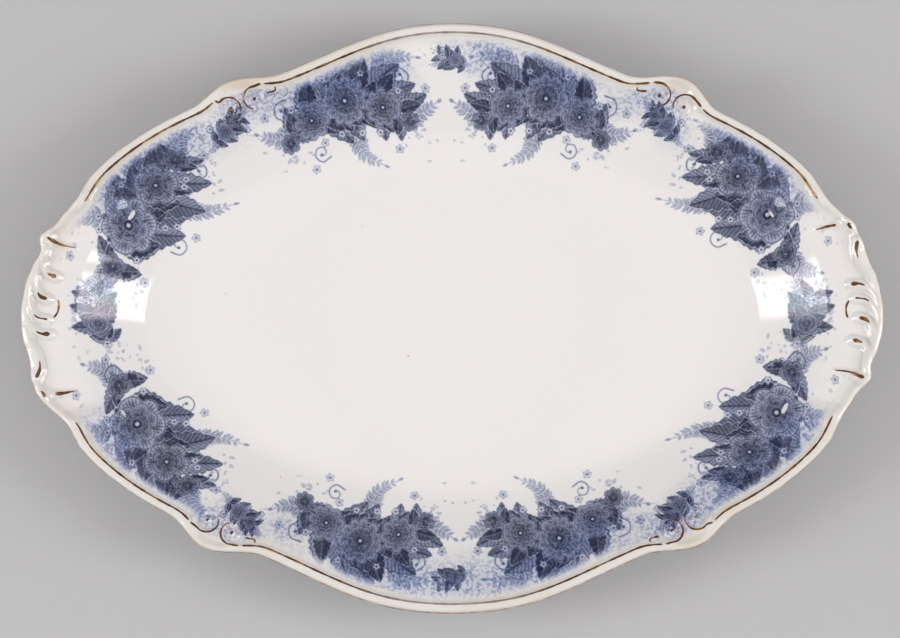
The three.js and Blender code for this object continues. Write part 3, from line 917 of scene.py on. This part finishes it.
def stroke_object(name, rim, path, head, tail, seed):
    """Closed film along a plan path, draped on the surface.

    Across the path go points from side to side on top and back underneath. The half-width runs
    from head to tail, rounds off at both ends and wavers like a brush stroke.
    """
    count = max(14, int(np.hypot(*np.diff(path, axis=0).T).sum() / STROKE_STEP))
    path = resample(path, count)
    share = np.linspace(0, 1, count)
    heading = np.gradient(path, axis=0)
    heading /= np.linalg.norm(heading, axis=1)[:, None]
    side = np.stack([-heading[:, 1], heading[:, 0]], axis=1)
    round_off = np.clip(np.minimum(share, 1 - share) * count * STROKE_STEP / (head + tail), 0, 1)
    slow = 0.16 * np.sin(share * count * 0.31 + seed)
    quick = 0.1 * np.sin(share * count * 0.83 + 2 * seed)
    waver = 1 + slow + quick
    half = (head + (tail - head) * share) * np.sqrt(np.clip(round_off, 0.04, 1)) * waver
    across = np.linspace(-1, 1, STROKE_POINTS)
    spread = np.concatenate([across, across[::-1]])
    crown = FILM_SIDE + FILM_CROWN * (1 - across**4)
    lift = np.concatenate([crown, np.full(STROKE_POINTS, FILM_BACK)])
    plan = path[:, None, :] + side[:, None, :] * (half[:, None] * spread)[..., None]
    height = rim.surface(plan[..., 0], plan[..., 1]) + lift
    rings = np.concatenate([plan, height[..., None]], axis=-1)[:, ::-1]
    made, _, _ = ring_object(name, rings, rings[0].mean(0), rings[-1].mean(0))
    return made


def line_end(rim, corner, kind, start):
    """The last direction from a lobe to a shoulder where the line is clear of the volute."""
    path = rim.volute(corner, kind)[0][::3]
    degrees = np.linspace(start, SHOULDER[corner], 201)
    angles = np.array([rim.corner_angle(corner, d) for d in degrees])
    crest = rim.rim_point(np.degrees(angles), LINE_INSET)
    gaps = np.linalg.norm(crest[:, None, :] - path[None], axis=-1).min(axis=1)
    blocked = np.nonzero(gaps < LINE_GAP)[0]
    return degrees[blocked[0] - 1] if len(blocked) else degrees[-1]


def curl_path(rim, corner, kind):
    """Path of a gold curl: it takes up where the line stops and follows the arch of the volute."""
    start = 90 if kind == "long" else KNOB[corner] + LINE_START
    end = line_end(rim, corner, kind, start)
    onward = math.degrees(CURL_GAP / float(rim.edge(rim.corner_angle(corner, end)) - LINE_INSET))
    first = end + onward * np.sign(SHOULDER[corner] - end)
    joint = rim.rim_point(math.degrees(rim.corner_angle(corner, first)), LINE_INSET)
    path, _ = rim.volute(corner, kind)
    return smooth_path(np.vstack([joint, path[CURL_JOINS[kind] : CURL_END : 3]]), 40)


def hook_path(rim, corner):
    """Path of the short hook that turns inwards where the line of the long lobe stops."""
    end = line_end(rim, corner, "long", 90)
    points = []
    for onward, inset in HOOK:
        angle = rim.corner_angle(corner, end + onward)
        points.append(rim.rim_point(math.degrees(angle), inset))
    return smooth_path(points, 20)


def line_path(rim, first, last):
    """Path of the raised line between two directions in degrees."""
    return rim.rim_point(np.linspace(first, last, 400), LINE_INSET)


def dress(piece, material, node=None):
    """Gives a piece its material and its place in the frame, and hides the node that it stands for."""
    piece.data.materials.append(material)
    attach(piece, "root")
    if node:
        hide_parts(node)


def gold_stroke(scene, rim, name, path, halves, seed, in_frame=True):
    """A stroke of worn gilding. One that the frame has too takes the place of its node."""
    piece = stroke_object(f"gold_{name}", rim, path, *halves, seed)
    material = stored_material("worn_gilding", gold_material, scene.platter_colours)
    dress(piece, material, f"gilt_{name}" if in_frame else None)


# Print


class InkSheet:
    """A rectangle of ink tones on a fine grid, painted shape over shape."""

    def __init__(self, width, height, seed):
        u = np.arange(-width / 2, width / 2 + PRINT_STEP / 2, PRINT_STEP)
        v = np.arange(-height / 2, height / 2 + PRINT_STEP / 2, PRINT_STEP)
        self.u, self.v = np.meshgrid(u, v)
        self.tone = np.zeros(self.u.shape)
        self.chance = np.random.default_rng(seed)

    def window(self, centre, reach):
        """The part of the grid within reach of a point, and its offsets from the point."""
        columns = np.searchsorted(self.u[0], (centre[0] - reach, centre[0] + reach))
        rows = np.searchsorted(self.v[:, 0], (centre[1] - reach, centre[1] + reach))
        part = slice(*rows), slice(*columns)
        return part, self.u[part] - centre[0], self.v[part] - centre[1]

    def lay(self, part, inside, tone, gap=0.5):
        """Lays a tone where inside is positive, with a pale line round it."""
        cover = ease(inside / 0.3 + 0.5)
        reserve = ease((inside + gap) / 0.3)
        under = self.tone[part] * (1 - 0.85 * reserve)
        self.tone[part] = under + (tone - under) * cover

    def leaf(self, base, degrees, length, width, fill, line, bend=0.0, teeth=0):
        """A pointed leaf: its half-width is a skewed arch along a bent midrib, with veins."""
        turn = math.radians(degrees)
        part, du, dv = self.window(base, length + width)
        s = (du * math.cos(turn) + dv * math.sin(turn)) / length
        w = -du * math.sin(turn) + dv * math.cos(turn) - bend * length * s * s
        t = np.clip(s, 0, 1)
        half = width / 2 * np.sin(math.pi * t**0.72) ** 0.8
        if teeth:
            half = half * (0.88 + 0.24 * np.abs(np.sin(math.pi * teeth * t)))
        beyond = np.maximum(np.maximum(-s, s - 1), 0) * length
        inside = half - np.abs(w) - 2 * beyond
        rib = np.exp(-((w / 0.26) ** 2))
        veins = np.exp(-((np.sin(math.pi * (t * length / 2.1 - np.abs(w) * 0.5)) / 0.35) ** 2))
        veins = veins * ease((half - np.abs(w)) / 0.5)
        outline = np.exp(-(((inside - 0.15) / 0.32) ** 2))
        mark = np.maximum(rib, 0.75 * veins)
        shade = fill * (1 - 0.22 * ease(w / (0.4 * width) + 0.5))
        inner = shade + (line - shade) * mark
        dark = np.maximum(fill, line)
        self.lay(part, inside, np.clip(inner + (dark + 0.05 - inner) * 0.8 * outline, 0, 1))

    def blossom(self, centre, radius, petals, layers, turn):
        """A full blossom: rings of petals, each ring an arched outline, dark at its root."""
        part, du, dv = self.window(centre, radius + 1)
        angle = np.arctan2(dv, du) - turn
        away = np.hypot(du, dv)
        for layer in range(layers):
            outer = radius * (1 - layer / (layers + 0.2))
            phase = petals * angle / 2 + layer * 1.2
            lobe = np.abs(np.cos(phase + 0.25 * np.sin(3 * angle)))
            rim = outer * (0.7 + 0.28 * lobe**0.55)
            inside = rim - away
            depth = np.clip(inside / outer, 0, 1)
            hatch = ease(0.5 + 1.2 * np.sin(angle * petals * 7 + 4 * layer))
            seam = np.exp(-((lobe / 0.2) ** 2))
            shade = 0.16 + 1.25 * depth + 0.3 * hatch * ease(depth / 0.12) * (1 - depth)
            shade = shade + 0.45 * seam
            outline = np.exp(-(((inside - 0.2) / 0.33) ** 2))
            self.lay(part, inside, np.clip(np.maximum(shade, 0.95 * outline), 0, 1), 0.4)
        heart = radius * 0.17
        self.lay(part, heart - away, 0.95, 0.35)
        self.lay(part, heart * 0.45 - away, 0.1, 0.0)

    def floret(self, centre, radius, fill, line, turn):
        """A small five-petalled flower with an eye."""
        part, du, dv = self.window(centre, radius + 1)
        away = np.hypot(du, dv)
        lobe = np.abs(np.cos(2.5 * (np.arctan2(dv, du) - turn)))
        inside = radius * (0.6 + 0.4 * lobe) - away
        outline = np.exp(-(((inside - 0.1) / 0.3) ** 2))
        self.lay(part, inside, fill + (line - fill) * outline, 0.3)
        self.lay(part, radius * 0.26 - away, line, 0.0)

    def dot(self, centre, radius, tone):
        """A round dot."""
        part, du, dv = self.window(centre, radius + 1)
        self.lay(part, radius - np.hypot(du, dv), tone, 0.2)

    def stem(self, points, first, last, tone):
        """A tapering stem through a few points."""
        path = smooth_path(points, 24)
        middle = (path.min(0) + path.max(0)) / 2
        part, du, dv = self.window(middle, np.ptp(path, axis=0).max() / 2 + 2)
        away, share = path_distance(du + middle[0], dv + middle[1], path)
        self.lay(part, first + (last - first) * share - away, tone, 0.25)
        return path

    def tendril(self, base, degrees, size, turns, side):
        """A thin curl: a spiral that tightens away from its base and ends in a dot."""
        tone = 0.75
        share = np.linspace(0, 1, 30)
        angle = math.radians(degrees) + side * share * turns * 2 * math.pi
        arm = size * (1 - 0.8 * share)
        steps = np.stack([arm * np.cos(angle), arm * np.sin(angle)], axis=1)
        path = np.cumsum(steps, axis=0) / 5 + base
        self.stem(path[::4], 0.38, 0.24, tone)
        self.dot(path[-1], 0.75, tone)

    def frond(self, points, leaflets, size, fill):
        """A frond: paired leaflets that shorten towards the tip of a curved stem."""
        path = self.stem(points, 0.4, 0.25, fill)
        for n in range(1, leaflets + 1):
            share = n / (leaflets + 1)
            i = int(share * 23)
            heading = math.degrees(math.atan2(*(path[i + 1] - path[i])[::-1]))
            length = size * (1.05 - 0.7 * share)
            for side in (-1, 1):
                turn = heading + side * 55
                self.leaf(path[i], turn, length, length * 0.46, fill, fill * 0.5, -0.1 * side)
        heading = math.degrees(math.atan2(*(path[-1] - path[-2])[::-1]))
        self.leaf(path[-1], heading, size * 0.45, size * 0.22, fill, fill)

    def foliage(self, points, pairs, length, fill, line):
        """Leaves in pairs along a bent spine, longest in the middle, each turned a little by chance."""
        path = smooth_path(points, 48)
        for n in range(pairs):
            share = (n + 0.5) / pairs
            i = int(share * 47)
            heading = math.degrees(math.atan2(*(path[i + 1] - path[i])[::-1]))
            size = length * (0.5 + 0.5 * math.sin(math.pi * share))
            for side in (-1, 1):
                turn = heading + side * (62 + 14 * self.chance.uniform(-1, 1))
                reach = size * self.chance.uniform(0.85, 1.1)
                bend = -side * self.chance.uniform(0.02, 0.16)
                self.leaf(path[i], turn, reach, reach * 0.52, fill, line, bend, 6)

    def scatter(self, centre, spread, count, fill):
        """Small leaves and dots thrown loosely round a point, thinner outwards."""
        for n in range(count):
            place = centre + self.chance.normal(0, 1, 2) * spread
            if n % 2:
                size = self.chance.uniform(1.8, 3.2)
                self.leaf(place, self.chance.uniform(0, 360), size, size * 0.5, fill, fill * 0.6)
            else:
                self.dot(place, self.chance.uniform(0.35, 0.7), fill)

    def blurred(self, width):
        """The tone spread by a soft round brush of that width in millimetres."""
        rows, columns = self.tone.shape
        down = np.fft.fftfreq(rows)[:, None]
        along = np.fft.rfftfreq(columns)[None, :]
        spread = np.exp(-2 * (math.pi * width / PRINT_STEP) ** 2 * (down**2 + along**2))
        return np.fft.irfft2(np.fft.rfft2(self.tone) * spread, s=self.tone.shape)

    def flowed(self):
        """The tone with the soft halo that cobalt leaves as it runs into the glaze."""
        halo = 0.22 * self.blurred(0.8) + 0.22 * self.blurred(2.6)
        rim_u = ease((np.abs(self.u).max() - np.abs(self.u)) / 3)
        rim_v = ease((np.abs(self.v).max() - np.abs(self.v)) / 3)
        return np.clip(0.8 * self.blurred(0.17) + halo, 0, 1) * rim_u * rim_v


def rose_spray():
    """Large spray: a full rose and a smaller one among toothed leaves and fronds."""
    ink = InkSheet(92, 62, 3)
    ink.scatter((-4, 17), (20, 4), 70, 0.42)
    ink.frond([(26, 6), (34, 12), (42, 13)], 8, 7, 0.62)
    ink.frond([(-26, -4), (-35, -2), (-42, 4)], 8, 7, 0.62)
    ink.frond([(12, -10), (20, -19), (30, -23)], 8, 6.5, 0.6)
    ink.frond([(-12, 10), (-20, 19), (-30, 22)], 8, 6.5, 0.6)
    ink.tendril((30, 2), -20, 7, 1.3, -1)
    ink.tendril((-28, -8), 200, 7, 1.3, -1)
    ink.tendril((-4, -19), 260, 6, 1.2, 1)
    ink.tendril((14, 17), 60, 6, 1.2, -1)
    spine = [(-31, -5), (-16, -4), (0, 1), (16, 3), (31, 7)]
    ink.foliage(spine, 7, 23, 0.56, 0.92)
    ink.foliage(spine, 6, 18, 0.94, 0.42)
    ink.foliage([(-22, -4), (0, 0), (22, 4)], 7, 12, 0.7, 0.98)
    ink.blossom((-8, 0), 12.5, 6, 4, 0.3)
    ink.blossom((13, 3), 9.5, 5, 3, 0.9)
    ink.blossom((27, 6), 5.2, 5, 2, 0.2)
    ink.blossom((-26, -4), 5.6, 5, 2, 0.5)
    for place in ((2, -12), (6, -15), (-18, 9), (-14, 12), (21, -5), (24, -3), (3, 13), (-17, -11)):
        ink.floret(place, 1.9, 0.06, 0.95, place[0])
    for place in ((37, 1), (-38, -5), (24, 17), (-22, -19), (8, -24), (-35, 14)):
        ink.floret(place, 2.1, 0.25, 0.8, place[1])
    ink.scatter((-30, -16), (5, 4), 14, 0.5)
    ink.scatter((34, -8), (4, 5), 14, 0.5)
    return ink


def daisy_spray():
    """Large spray: three many-petalled flowers on an arched spine of leaves."""
    ink = InkSheet(88, 62, 8)
    ink.scatter((2, 18), (19, 4), 66, 0.42)
    ink.frond([(22, -4), (32, -6), (40, -2)], 8, 7, 0.62)
    ink.frond([(-22, -4), (-32, -6), (-40, -2)], 8, 7, 0.62)
    ink.frond([(2, -10), (4, -20), (12, -26)], 8, 6, 0.6)
    ink.frond([(14, 12), (24, 18), (34, 17)], 8, 6.5, 0.6)
    ink.tendril((-24, 8), 150, 7, 1.3, 1)
    ink.tendril((26, 5), 20, 7, 1.4, 1)
    ink.tendril((-10, -17), 240, 6, 1.3, -1)
    spine = [(-28, -8), (-16, 1), (0, 4), (16, 1), (28, -8)]
    ink.foliage(spine, 7, 22, 0.56, 0.92)
    ink.foliage(spine, 6, 17, 0.94, 0.42)
    ink.foliage([(-18, -2), (0, 2), (18, -2)], 6, 13, 0.7, 0.98)
    ink.blossom((0, 3), 10.5, 11, 3, 0.2)
    ink.blossom((-16, -2), 8.5, 9, 3, 0.5)
    ink.blossom((16, -2), 8.5, 9, 3, 0.1)
    ink.blossom((-27, -9), 4.6, 7, 2, 0.1)
    ink.blossom((27, -9), 4.6, 7, 2, 0.6)
    for place in ((-8, 13), (9, 13), (-4, -10), (5, -11), (-24, 4), (24, 4), (-12, -12), (13, -12)):
        ink.floret(place, 1.9, 0.06, 0.95, place[0])
    for place in ((36, 4), (-36, 4), (20, 20), (-20, 19), (20, -20), (-18, -22)):
        ink.floret(place, 2.1, 0.25, 0.8, place[1])
    ink.scatter((-30, -17), (5, 4), 14, 0.5)
    ink.scatter((30, -17), (5, 4), 14, 0.5)
    return ink


def ivy_sprig():
    """Small sprig: two blossoms on a short leafy spine."""
    ink = InkSheet(50, 38, 5)
    ink.scatter((0, 10), (10, 3), 34, 0.42)
    ink.frond([(10, 3), (16, 8), (22, 9)], 6, 5, 0.62)
    ink.frond([(-10, -3), (-16, -8), (-22, -9)], 6, 5, 0.62)
    ink.tendril((12, -2), -10, 5, 1.3, -1)
    ink.tendril((-12, 2), 170, 5, 1.3, -1)
    spine = [(-15, -5), (0, 0), (15, 5)]
    ink.foliage(spine, 5, 14, 0.58, 0.92)
    ink.foliage(spine, 4, 11, 0.94, 0.42)
    ink.blossom((-3, -1), 7, 6, 3, 0.4)
    ink.blossom((8, 3), 4.6, 5, 2, 0.1)
    for place in ((3, -8), (-11, 5), (14, 8), (-13, -7)):
        ink.floret(place, 1.7, 0.1, 0.95, place[0])
    ink.scatter((14, -8), (3, 3), 10, 0.5)
    ink.scatter((-14, 9), (3, 3), 10, 0.5)
    return ink


def bud_sprig():
    """Smallest sprig: one blossom, two florets and a few leaves."""
    ink = InkSheet(38, 28, 6)
    ink.scatter((0, 8), (8, 2), 20, 0.42)
    ink.frond([(7, 1), (12, -3), (16, -3)], 5, 4.2, 0.6)
    ink.tendril((8, 4), 40, 4, 1.3, 1)
    spine = [(-11, -4), (0, 0), (11, 4)]
    ink.foliage(spine, 4, 11, 0.6, 0.92)
    ink.foliage(spine, 3, 8, 0.94, 0.42)
    ink.blossom((-2, 0), 5, 6, 3, 0.3)
    ink.floret((7, 3), 2.2, 0.15, 0.95, 0.2)
    ink.floret((-10, -3), 2, 0.15, 0.95, 0.7)
    ink.scatter((12, 6), (2, 2), 8, 0.5)
    ink.scatter((-12, -7), (2, 2), 8, 0.5)
    return ink


def border_place(rim, inset, run):
    """A place on an oval inside the edge, so far round it from the right end.

    Gives the point, the tangent, the outward normal and the curvature.
    """
    turn = np.linspace(0, 4 * QUARTER, 4001)
    a = rim.half_length - inset
    b = rim.half_width - inset
    curve = np.stack([a * np.cos(turn), b * np.sin(turn)], axis=1)
    travelled = np.concatenate([[0], np.cumsum(np.hypot(*np.diff(curve, axis=0).T))])
    at = np.interp(run * travelled[-1], travelled, turn)
    point = np.array([a * np.cos(at), b * np.sin(at)])
    tangent = np.array([-a * np.sin(at), b * np.cos(at)])
    speed = np.linalg.norm(tangent)
    tangent = tangent / speed
    return point, tangent, np.array([tangent[1], -tangent[0]]), a * b / speed**3


def print_object(name, rim, ink, place, scale, mirror):
    """A printed sheet laid on the surface.

    The flat design is carried to a place on the border and bent along it, and only the faces that
    hold ink are kept.
    """
    point, tangent, normal, curvature = place
    along = ink.u * (-scale if mirror else scale)
    out = ink.v * scale - PRINT_BEND * curvature * along**2
    x = point[0] + tangent[0] * along + normal[0] * out
    y = point[1] + tangent[1] * along + normal[1] * out
    tone = ink.flowed()
    inset = rim.edge(np.arctan2(y, x)) - np.hypot(x, y)
    tone = tone * ease((inset - PRINT_INSET) / PRINT_FADE)
    z = rim.surface(x, y) + PRINT_LIFT
    rows, columns = x.shape
    i, j = np.meshgrid(np.arange(rows - 1), np.arange(columns - 1), indexing="ij")
    first = (i * columns + j).ravel()
    quads = np.stack([first, first + 1, first + columns + 1, first + columns], axis=1)
    if mirror:
        quads = quads[:, ::-1]
    flat = tone.ravel()
    quads = quads[flat[quads].max(axis=1) > LEAST_TONE]
    used, corners = np.unique(quads, return_inverse=True)
    corners = corners.ravel()
    points = np.stack([x.ravel(), y.ravel(), z.ravel()], axis=1)[used]
    made = make_object(name, points, corners, np.arange(len(quads)) * 4)
    set_attribute(made.data, "ink", flat[used])
    u = (ink.u - ink.u.min()) / np.ptp(ink.u)
    v = (ink.v - ink.v.min()) / np.ptp(ink.v)
    sheet = np.stack([u.ravel(), v.ravel()], axis=1)[used] * 0.98 + 0.01
    set_uv(made.data, "OFBake", sheet[corners])
    made.visible_shadow = False
    return made


# Add-on


def length_property(label, words, value):
    """A length in metres that a user can change."""
    return bpy.props.FloatProperty(name=label, description=words, default=value, unit="LENGTH")


class PlatterSizes(bpy.types.PropertyGroup):
    """Sizes of the platter."""

    length: length_property("Length", "Overall length", LENGTH)
    width: length_property("Width", "Overall width", WIDTH)
    rim_height: length_property("Rim height", "Height of the plain rim at the edge", 0.039)
    well_length: length_property("Well length", "Length of the flat well", 0.262)
    well_width: length_property("Well width", "Width of the flat well", 0.146)
    cavetto_width: length_property("Cavetto width", "Width of the curve out of the well", 0.057)
    floor_thickness: length_property("Floor thickness", "Thickness under the well", 0.0056)
    rim_thickness: length_property("Rim thickness", "Thickness at the edge", 0.0044)
    foot_height: length_property("Foot height", "Height of the foot ring", 0.0036)
    foot_tread: length_property("Foot tread", "Width of the foot ring's tread", 0.0045)


def colour_property(label, words, value):
    """A colour that a user can change."""
    return bpy.props.FloatVectorProperty(
        name=label, description=words, default=value, subtype="COLOR", size=3, min=0, max=1
    )


class PlatterColours(bpy.types.PropertyGroup):
    """Colours of the platter, linear."""

    glaze: colour_property("Glaze", "Glaze in the well", (0.83, 0.81, 0.8))
    rim_glaze: colour_property("Rim glaze", "Creamier glaze on the rim", (0.755, 0.735, 0.7))
    # Grey painted shade in the hollows beside the mouldings, with some glaze pooling there
    pooled_glaze_and_shade: colour_property("Glaze pool and shade", "Grey painted shade and glaze pooling beside the mouldings", (0.4, 0.42, 0.42))
    stain: colour_property("Stain", "Age stain near the edge", (0.6, 0.45, 0.27))
    rust: colour_property("Rust", "Small rust specks", (0.36, 0.17, 0.06))
    print_light: colour_property("Print light", "Thin cobalt ink", (0.148, 0.243, 0.518))
    print_mid: colour_property("Print mid", "Cobalt ink", (0.029, 0.071, 0.23))
    print_dark: colour_property("Print dark", "Deep cobalt ink", (0.0045, 0.011, 0.053))
    gold: colour_property("Gold", "Bright gilding", (0.58, 0.32, 0.11))
    gold_dark: colour_property("Worn gold", "Gilding worn to brown", (0.125, 0.052, 0.02))
    edge_gold: colour_property("Edge gold", "Thin gilding on the outer edge", (0.3, 0.15, 0.09))
    biscuit: colour_property("Biscuit", "Bare clay on the foot", (0.6, 0.5, 0.38))
    floor: colour_property("Floor", "Floor under the platter", (0.5, 0.5, 0.51))
    floor_shade: colour_property("Floor shade", "Darker mottle of the floor", (0.46, 0.46, 0.47))


class PLATTER_OT_body(bpy.types.Operator):
    """Builds the moulded body"""

    bl_idname = "platter.body"
    bl_label = "Body"

    def execute(self, context):
        rim = Rim(context.scene.platter_sizes)
        angle = column_angles(rim)
        points, edge_distance, top_count = body_rings(rim, angle)
        top = np.array([0, 0, rim.well_top])
        bottom = np.array([0, 0, rim.foot + DOME])
        body, ring, column = ring_object("platter_glazed_body", points, top, bottom)
        rim_map, above, under = body_maps(points, top_count, angle, edge_distance, ring, column)
        set_uv(body.data, "RimMap", rim_map)
        for name, values in body_wear_and_shade(rim, angle, points, top_count).items():
            set_attribute(body.data, name, values)
        starts = np.zeros(len(body.data.polygons), np.int32)
        body.data.polygons.foreach_get("loop_start", starts)
        lower = np.logical_or.reduceat(ring > top_count, starts)
        lower = np.repeat(lower, np.diff(np.append(starts, len(ring))))
        set_uv(body.data, "OFBake", np.where(lower[:, None], under, above))
        material = stored_material("clear_glaze", glaze_material, context.scene.platter_colours)
        dress(body, material, "platter_body")
        return {"FINISHED"}


class PLATTER_OT_print(bpy.types.Operator):
    """Lays the printed sprays round the border"""

    bl_idname = "platter.print_sprays"
    bl_label = "Printed sprays"

    def execute(self, context):
        rim = Rim(context.scene.platter_sizes)
        material = stored_material("underglaze_print", print_material, context.scene.platter_colours)
        designs = {"rose": rose_spray(), "daisy": daisy_spray(), "ivy": ivy_sprig(), "bud": bud_sprig()}
        layout = []
        for quarter, drift in enumerate(PRINT_DRIFT):
            odd = quarter % 2 == 1
            for design, run, inset, scale in PRINT_LAYOUT:
                share = (quarter + (1 - run if odd else run) + drift) / 4
                layout.append((design, share, inset, scale, odd))
        layout.extend(("bud", *bud) for bud in BUDS)
        for number, (design, share, inset, scale, mirror) in enumerate(layout, 1):
            place = border_place(rim, inset, share)
            name = f"printed_{design}_{number}"
            piece = print_object(name, rim, designs[design], place, scale, mirror)
            dress(piece, material)
        return {"FINISHED"}


class PLATTER_OT_gold_lines(bpy.types.Operator):
    """Draws the gold lines along the lobes"""

    bl_idname = "platter.gold_lines"
    bl_label = "Gold lines"

    def execute(self, context):
        rim = Rim(context.scene.platter_sizes)
        spans = {}
        for name, corners in (("long_top", (0, 1)), ("long_bottom", (3, 2))):
            ends = [line_end(rim, corner, "long", 90) for corner in corners]
            angles = [rim.corner_angle(corner, end) for corner, end in zip(corners, ends)]
            spans[name] = sorted(math.degrees(angle) for angle in angles)
        for corner, name in enumerate(CORNER_NAMES):
            start = KNOB[corner] + LINE_START
            ends = (start, line_end(rim, corner, "side", start))
            spans[f"diagonal_{name}"] = [math.degrees(rim.corner_angle(corner, end)) for end in ends]
        for n, (name, (first, last)) in enumerate(spans.items()):
            path = line_path(rim, first, last)
            gold_stroke(context.scene, rim, f"line_{name}", path, GOLD_HALVES["line"], n)
        return {"FINISHED"}


class PLATTER_OT_gold_curls(bpy.types.Operator):
    """Draws the gold on the volutes, pearls and folds, and the hooks beside them"""

    bl_idname = "platter.gold_curls"
    bl_label = "Gold curls"

    def execute(self, context):
        scene = context.scene
        rim = Rim(scene.platter_sizes)
        for corner, name in enumerate(CORNER_NAMES):
            for kind in VOLUTES:
                path = curl_path(rim, corner, kind)
                gold_stroke(scene, rim, f"curl_{kind}_{name}", path, GOLD_HALVES["curl"], corner)
                _, eye = rim.volute(corner, kind)
                touch = np.stack([eye - PEARL_TOUCH, eye + PEARL_TOUCH])
                halves = GOLD_HALVES["pearl"]
                gold_stroke(scene, rim, f"pearl_{kind}_{name}", touch, halves, corner, False)
            hook = hook_path(rim, corner)
            gold_stroke(scene, rim, f"hook_{name}", hook, GOLD_HALVES["hook"], corner, False)
            # At every other corner the comma starts a third of the way along its fold
            comma = rim.fold(corner)[6 * (1 - corner % 2) :]
            gold_stroke(scene, rim, f"comma_{name}", comma, GOLD_HALVES["comma"], corner + 4)
        return {"FINISHED"}


class PLATTER_OT_gold_ends(bpy.types.Operator):
    """Draws the gold strokes on the shells at both ends"""

    bl_idname = "platter.gold_ends"
    bl_label = "Gold strokes at the ends"

    def execute(self, context):
        scene = context.scene
        rim = Rim(scene.platter_sizes)
        for end, name in enumerate(("right", "left")):
            for n, (places, _, _, width) in enumerate(FLUTES):
                path = rim.end_path(end, places, FLUTE_STEPS)[FLUTE_GILT:]
                gold_stroke(scene, rim, f"flute_{n + 1}_{name}", path, (FLUTE_HEAD, width), n)
            for n, (kind, places) in enumerate((("dab", DAB), ("dash", DASH))):
                path = rim.end_path(end, places, 12)
                gold_stroke(scene, rim, f"{kind}_{name}", path, GOLD_HALVES[kind], end + 2 * n)
        return {"FINISHED"}


def area_light(name, values, target, side=1):
    """A rectangular lamp aimed at a point, mirrored to the left where side is -1."""
    (x, y, z), (width, height), power = values
    lamp = bpy.data.lights.new(name, "AREA")
    lamp.shape = "RECTANGLE"
    lamp.size = width
    lamp.size_y = height
    lamp.energy = power
    made = bpy.data.objects.new(name, lamp)
    bpy.context.scene.collection.objects.link(made)
    place = Vector((side * x, y, z))
    made.location = place
    made.rotation_euler = (Vector(target) - place).to_track_quat("-Z", "Y").to_euler()
    return lamp


def soften_lamp(lamp):
    """Fades a lamp towards its upper and lower edge, with a pearly change of tint across it."""
    graph = Graph(lamp)
    sheet = graph.node("ShaderNodeNewGeometry", {}, {}, "Parametric")
    up = graph.split(sheet, "X")
    fade = up.step(0.0, 0.32) * (1 - up.step(0.82, 1.0))
    tint = graph.noise(sheet, 2.6, 2.0)
    colour = graph.mix(tint.step(0.38, 0.62), *WINDOW_TINTS)
    glow = graph.node("ShaderNodeEmission", {}, {"Color": colour, "Strength": fade})
    graph.node("ShaderNodeOutputLight", {}, {"Surface": glow})


class PLATTER_OT_stage(bpy.types.Operator):
    """Adds the floor, the lamps and the camera"""

    bl_idname = "platter.stage"
    bl_label = "Stage"

    def execute(self, context):
        scene = context.scene
        square = np.array([[-1, -1, 0], [1, -1, 0], [1, 1, 0], [-1, 1, 0]])
        floor = make_object("floor", square * FLOOR_HALF, np.arange(4), np.array([0]), False)
        floor.data.materials.append(floor_material(scene.platter_colours))
        for name, side in (("left_window", -1), ("right_window", 1)):
            soften_lamp(area_light(name, WINDOW, WINDOW_TARGET, side))
            area_light(name + "_low", LOW_WINDOW, WINDOW_TARGET, side)
        area_light("overhead", OVERHEAD, OVERHEAD_TARGET).color = OVERHEAD_COLOUR
        world = bpy.data.worlds.new("soft_room")
        world.use_nodes = True
        background = world.node_tree.nodes["Background"]
        background.inputs["Color"].default_value = ROOM_COLOUR
        background.inputs["Strength"].default_value = ROOM_STRENGTH
        scene.world = world
        scene.view_settings.view_transform = "Standard"
        camera = bpy.data.objects.new("camera", bpy.data.cameras.new("camera"))
        scene.collection.objects.link(camera)
        elevation = math.radians(CAMERA_ELEVATION)
        back = Vector((0, -math.cos(elevation), math.sin(elevation)))
        camera.location = Vector(CAMERA_TARGET) + back * CAMERA_DISTANCE
        camera.rotation_euler = (-back).to_track_quat("-Z", "Y").to_euler()
        camera.data.sensor_width = SENSOR_WIDTH
        shown = SENSOR_WIDTH * PLATTER_PIXELS / IMAGE_WIDTH
        camera.data.lens = shown * CAMERA_DISTANCE / scene.platter_sizes.length
        scene.camera = camera
        return {"FINISHED"}


OPERATORS = (
    PLATTER_OT_body,
    PLATTER_OT_print,
    PLATTER_OT_gold_lines,
    PLATTER_OT_gold_curls,
    PLATTER_OT_gold_ends,
    PLATTER_OT_stage,
)


class PLATTER_PT_panel(bpy.types.Panel):
    """Lists the platter's sizes, colours and pieces"""

    bl_idname = "PLATTER_PT_panel"
    bl_label = "Oval platter"
    bl_space_type = "VIEW_3D"
    bl_region_type = "UI"
    bl_category = "Platter"

    def draw(self, context):
        layout = self.layout
        for group in (context.scene.platter_sizes, context.scene.platter_colours):
            box = layout.box()
            for name in group.__annotations__:
                box.prop(group, name)
        for operator in OPERATORS:
            layout.operator(operator.bl_idname)


CLASSES = (PlatterSizes, PlatterColours, *OPERATORS, PLATTER_PT_panel)


def register():
    """Adds the classes and the scene's properties."""
    for item in CLASSES:
        bpy.utils.register_class(item)
    bpy.types.Scene.platter_sizes = bpy.props.PointerProperty(type=PlatterSizes)
    bpy.types.Scene.platter_colours = bpy.props.PointerProperty(type=PlatterColours)


def unregister():
    """Takes the scene's properties and the classes away again."""
    del bpy.types.Scene.platter_colours
    del bpy.types.Scene.platter_sizes
    for item in reversed(CLASSES):
        bpy.utils.unregister_class(item)


def main():
    """Builds the platter and its stage."""
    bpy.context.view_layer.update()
    register()
    bpy.ops.platter.body()
    bpy.ops.platter.print_sprays()
    bpy.ops.platter.gold_lines()
    bpy.ops.platter.gold_curls()
    bpy.ops.platter.gold_ends()
    bpy.ops.platter.stage()


if __name__ == "__main__":
    main()
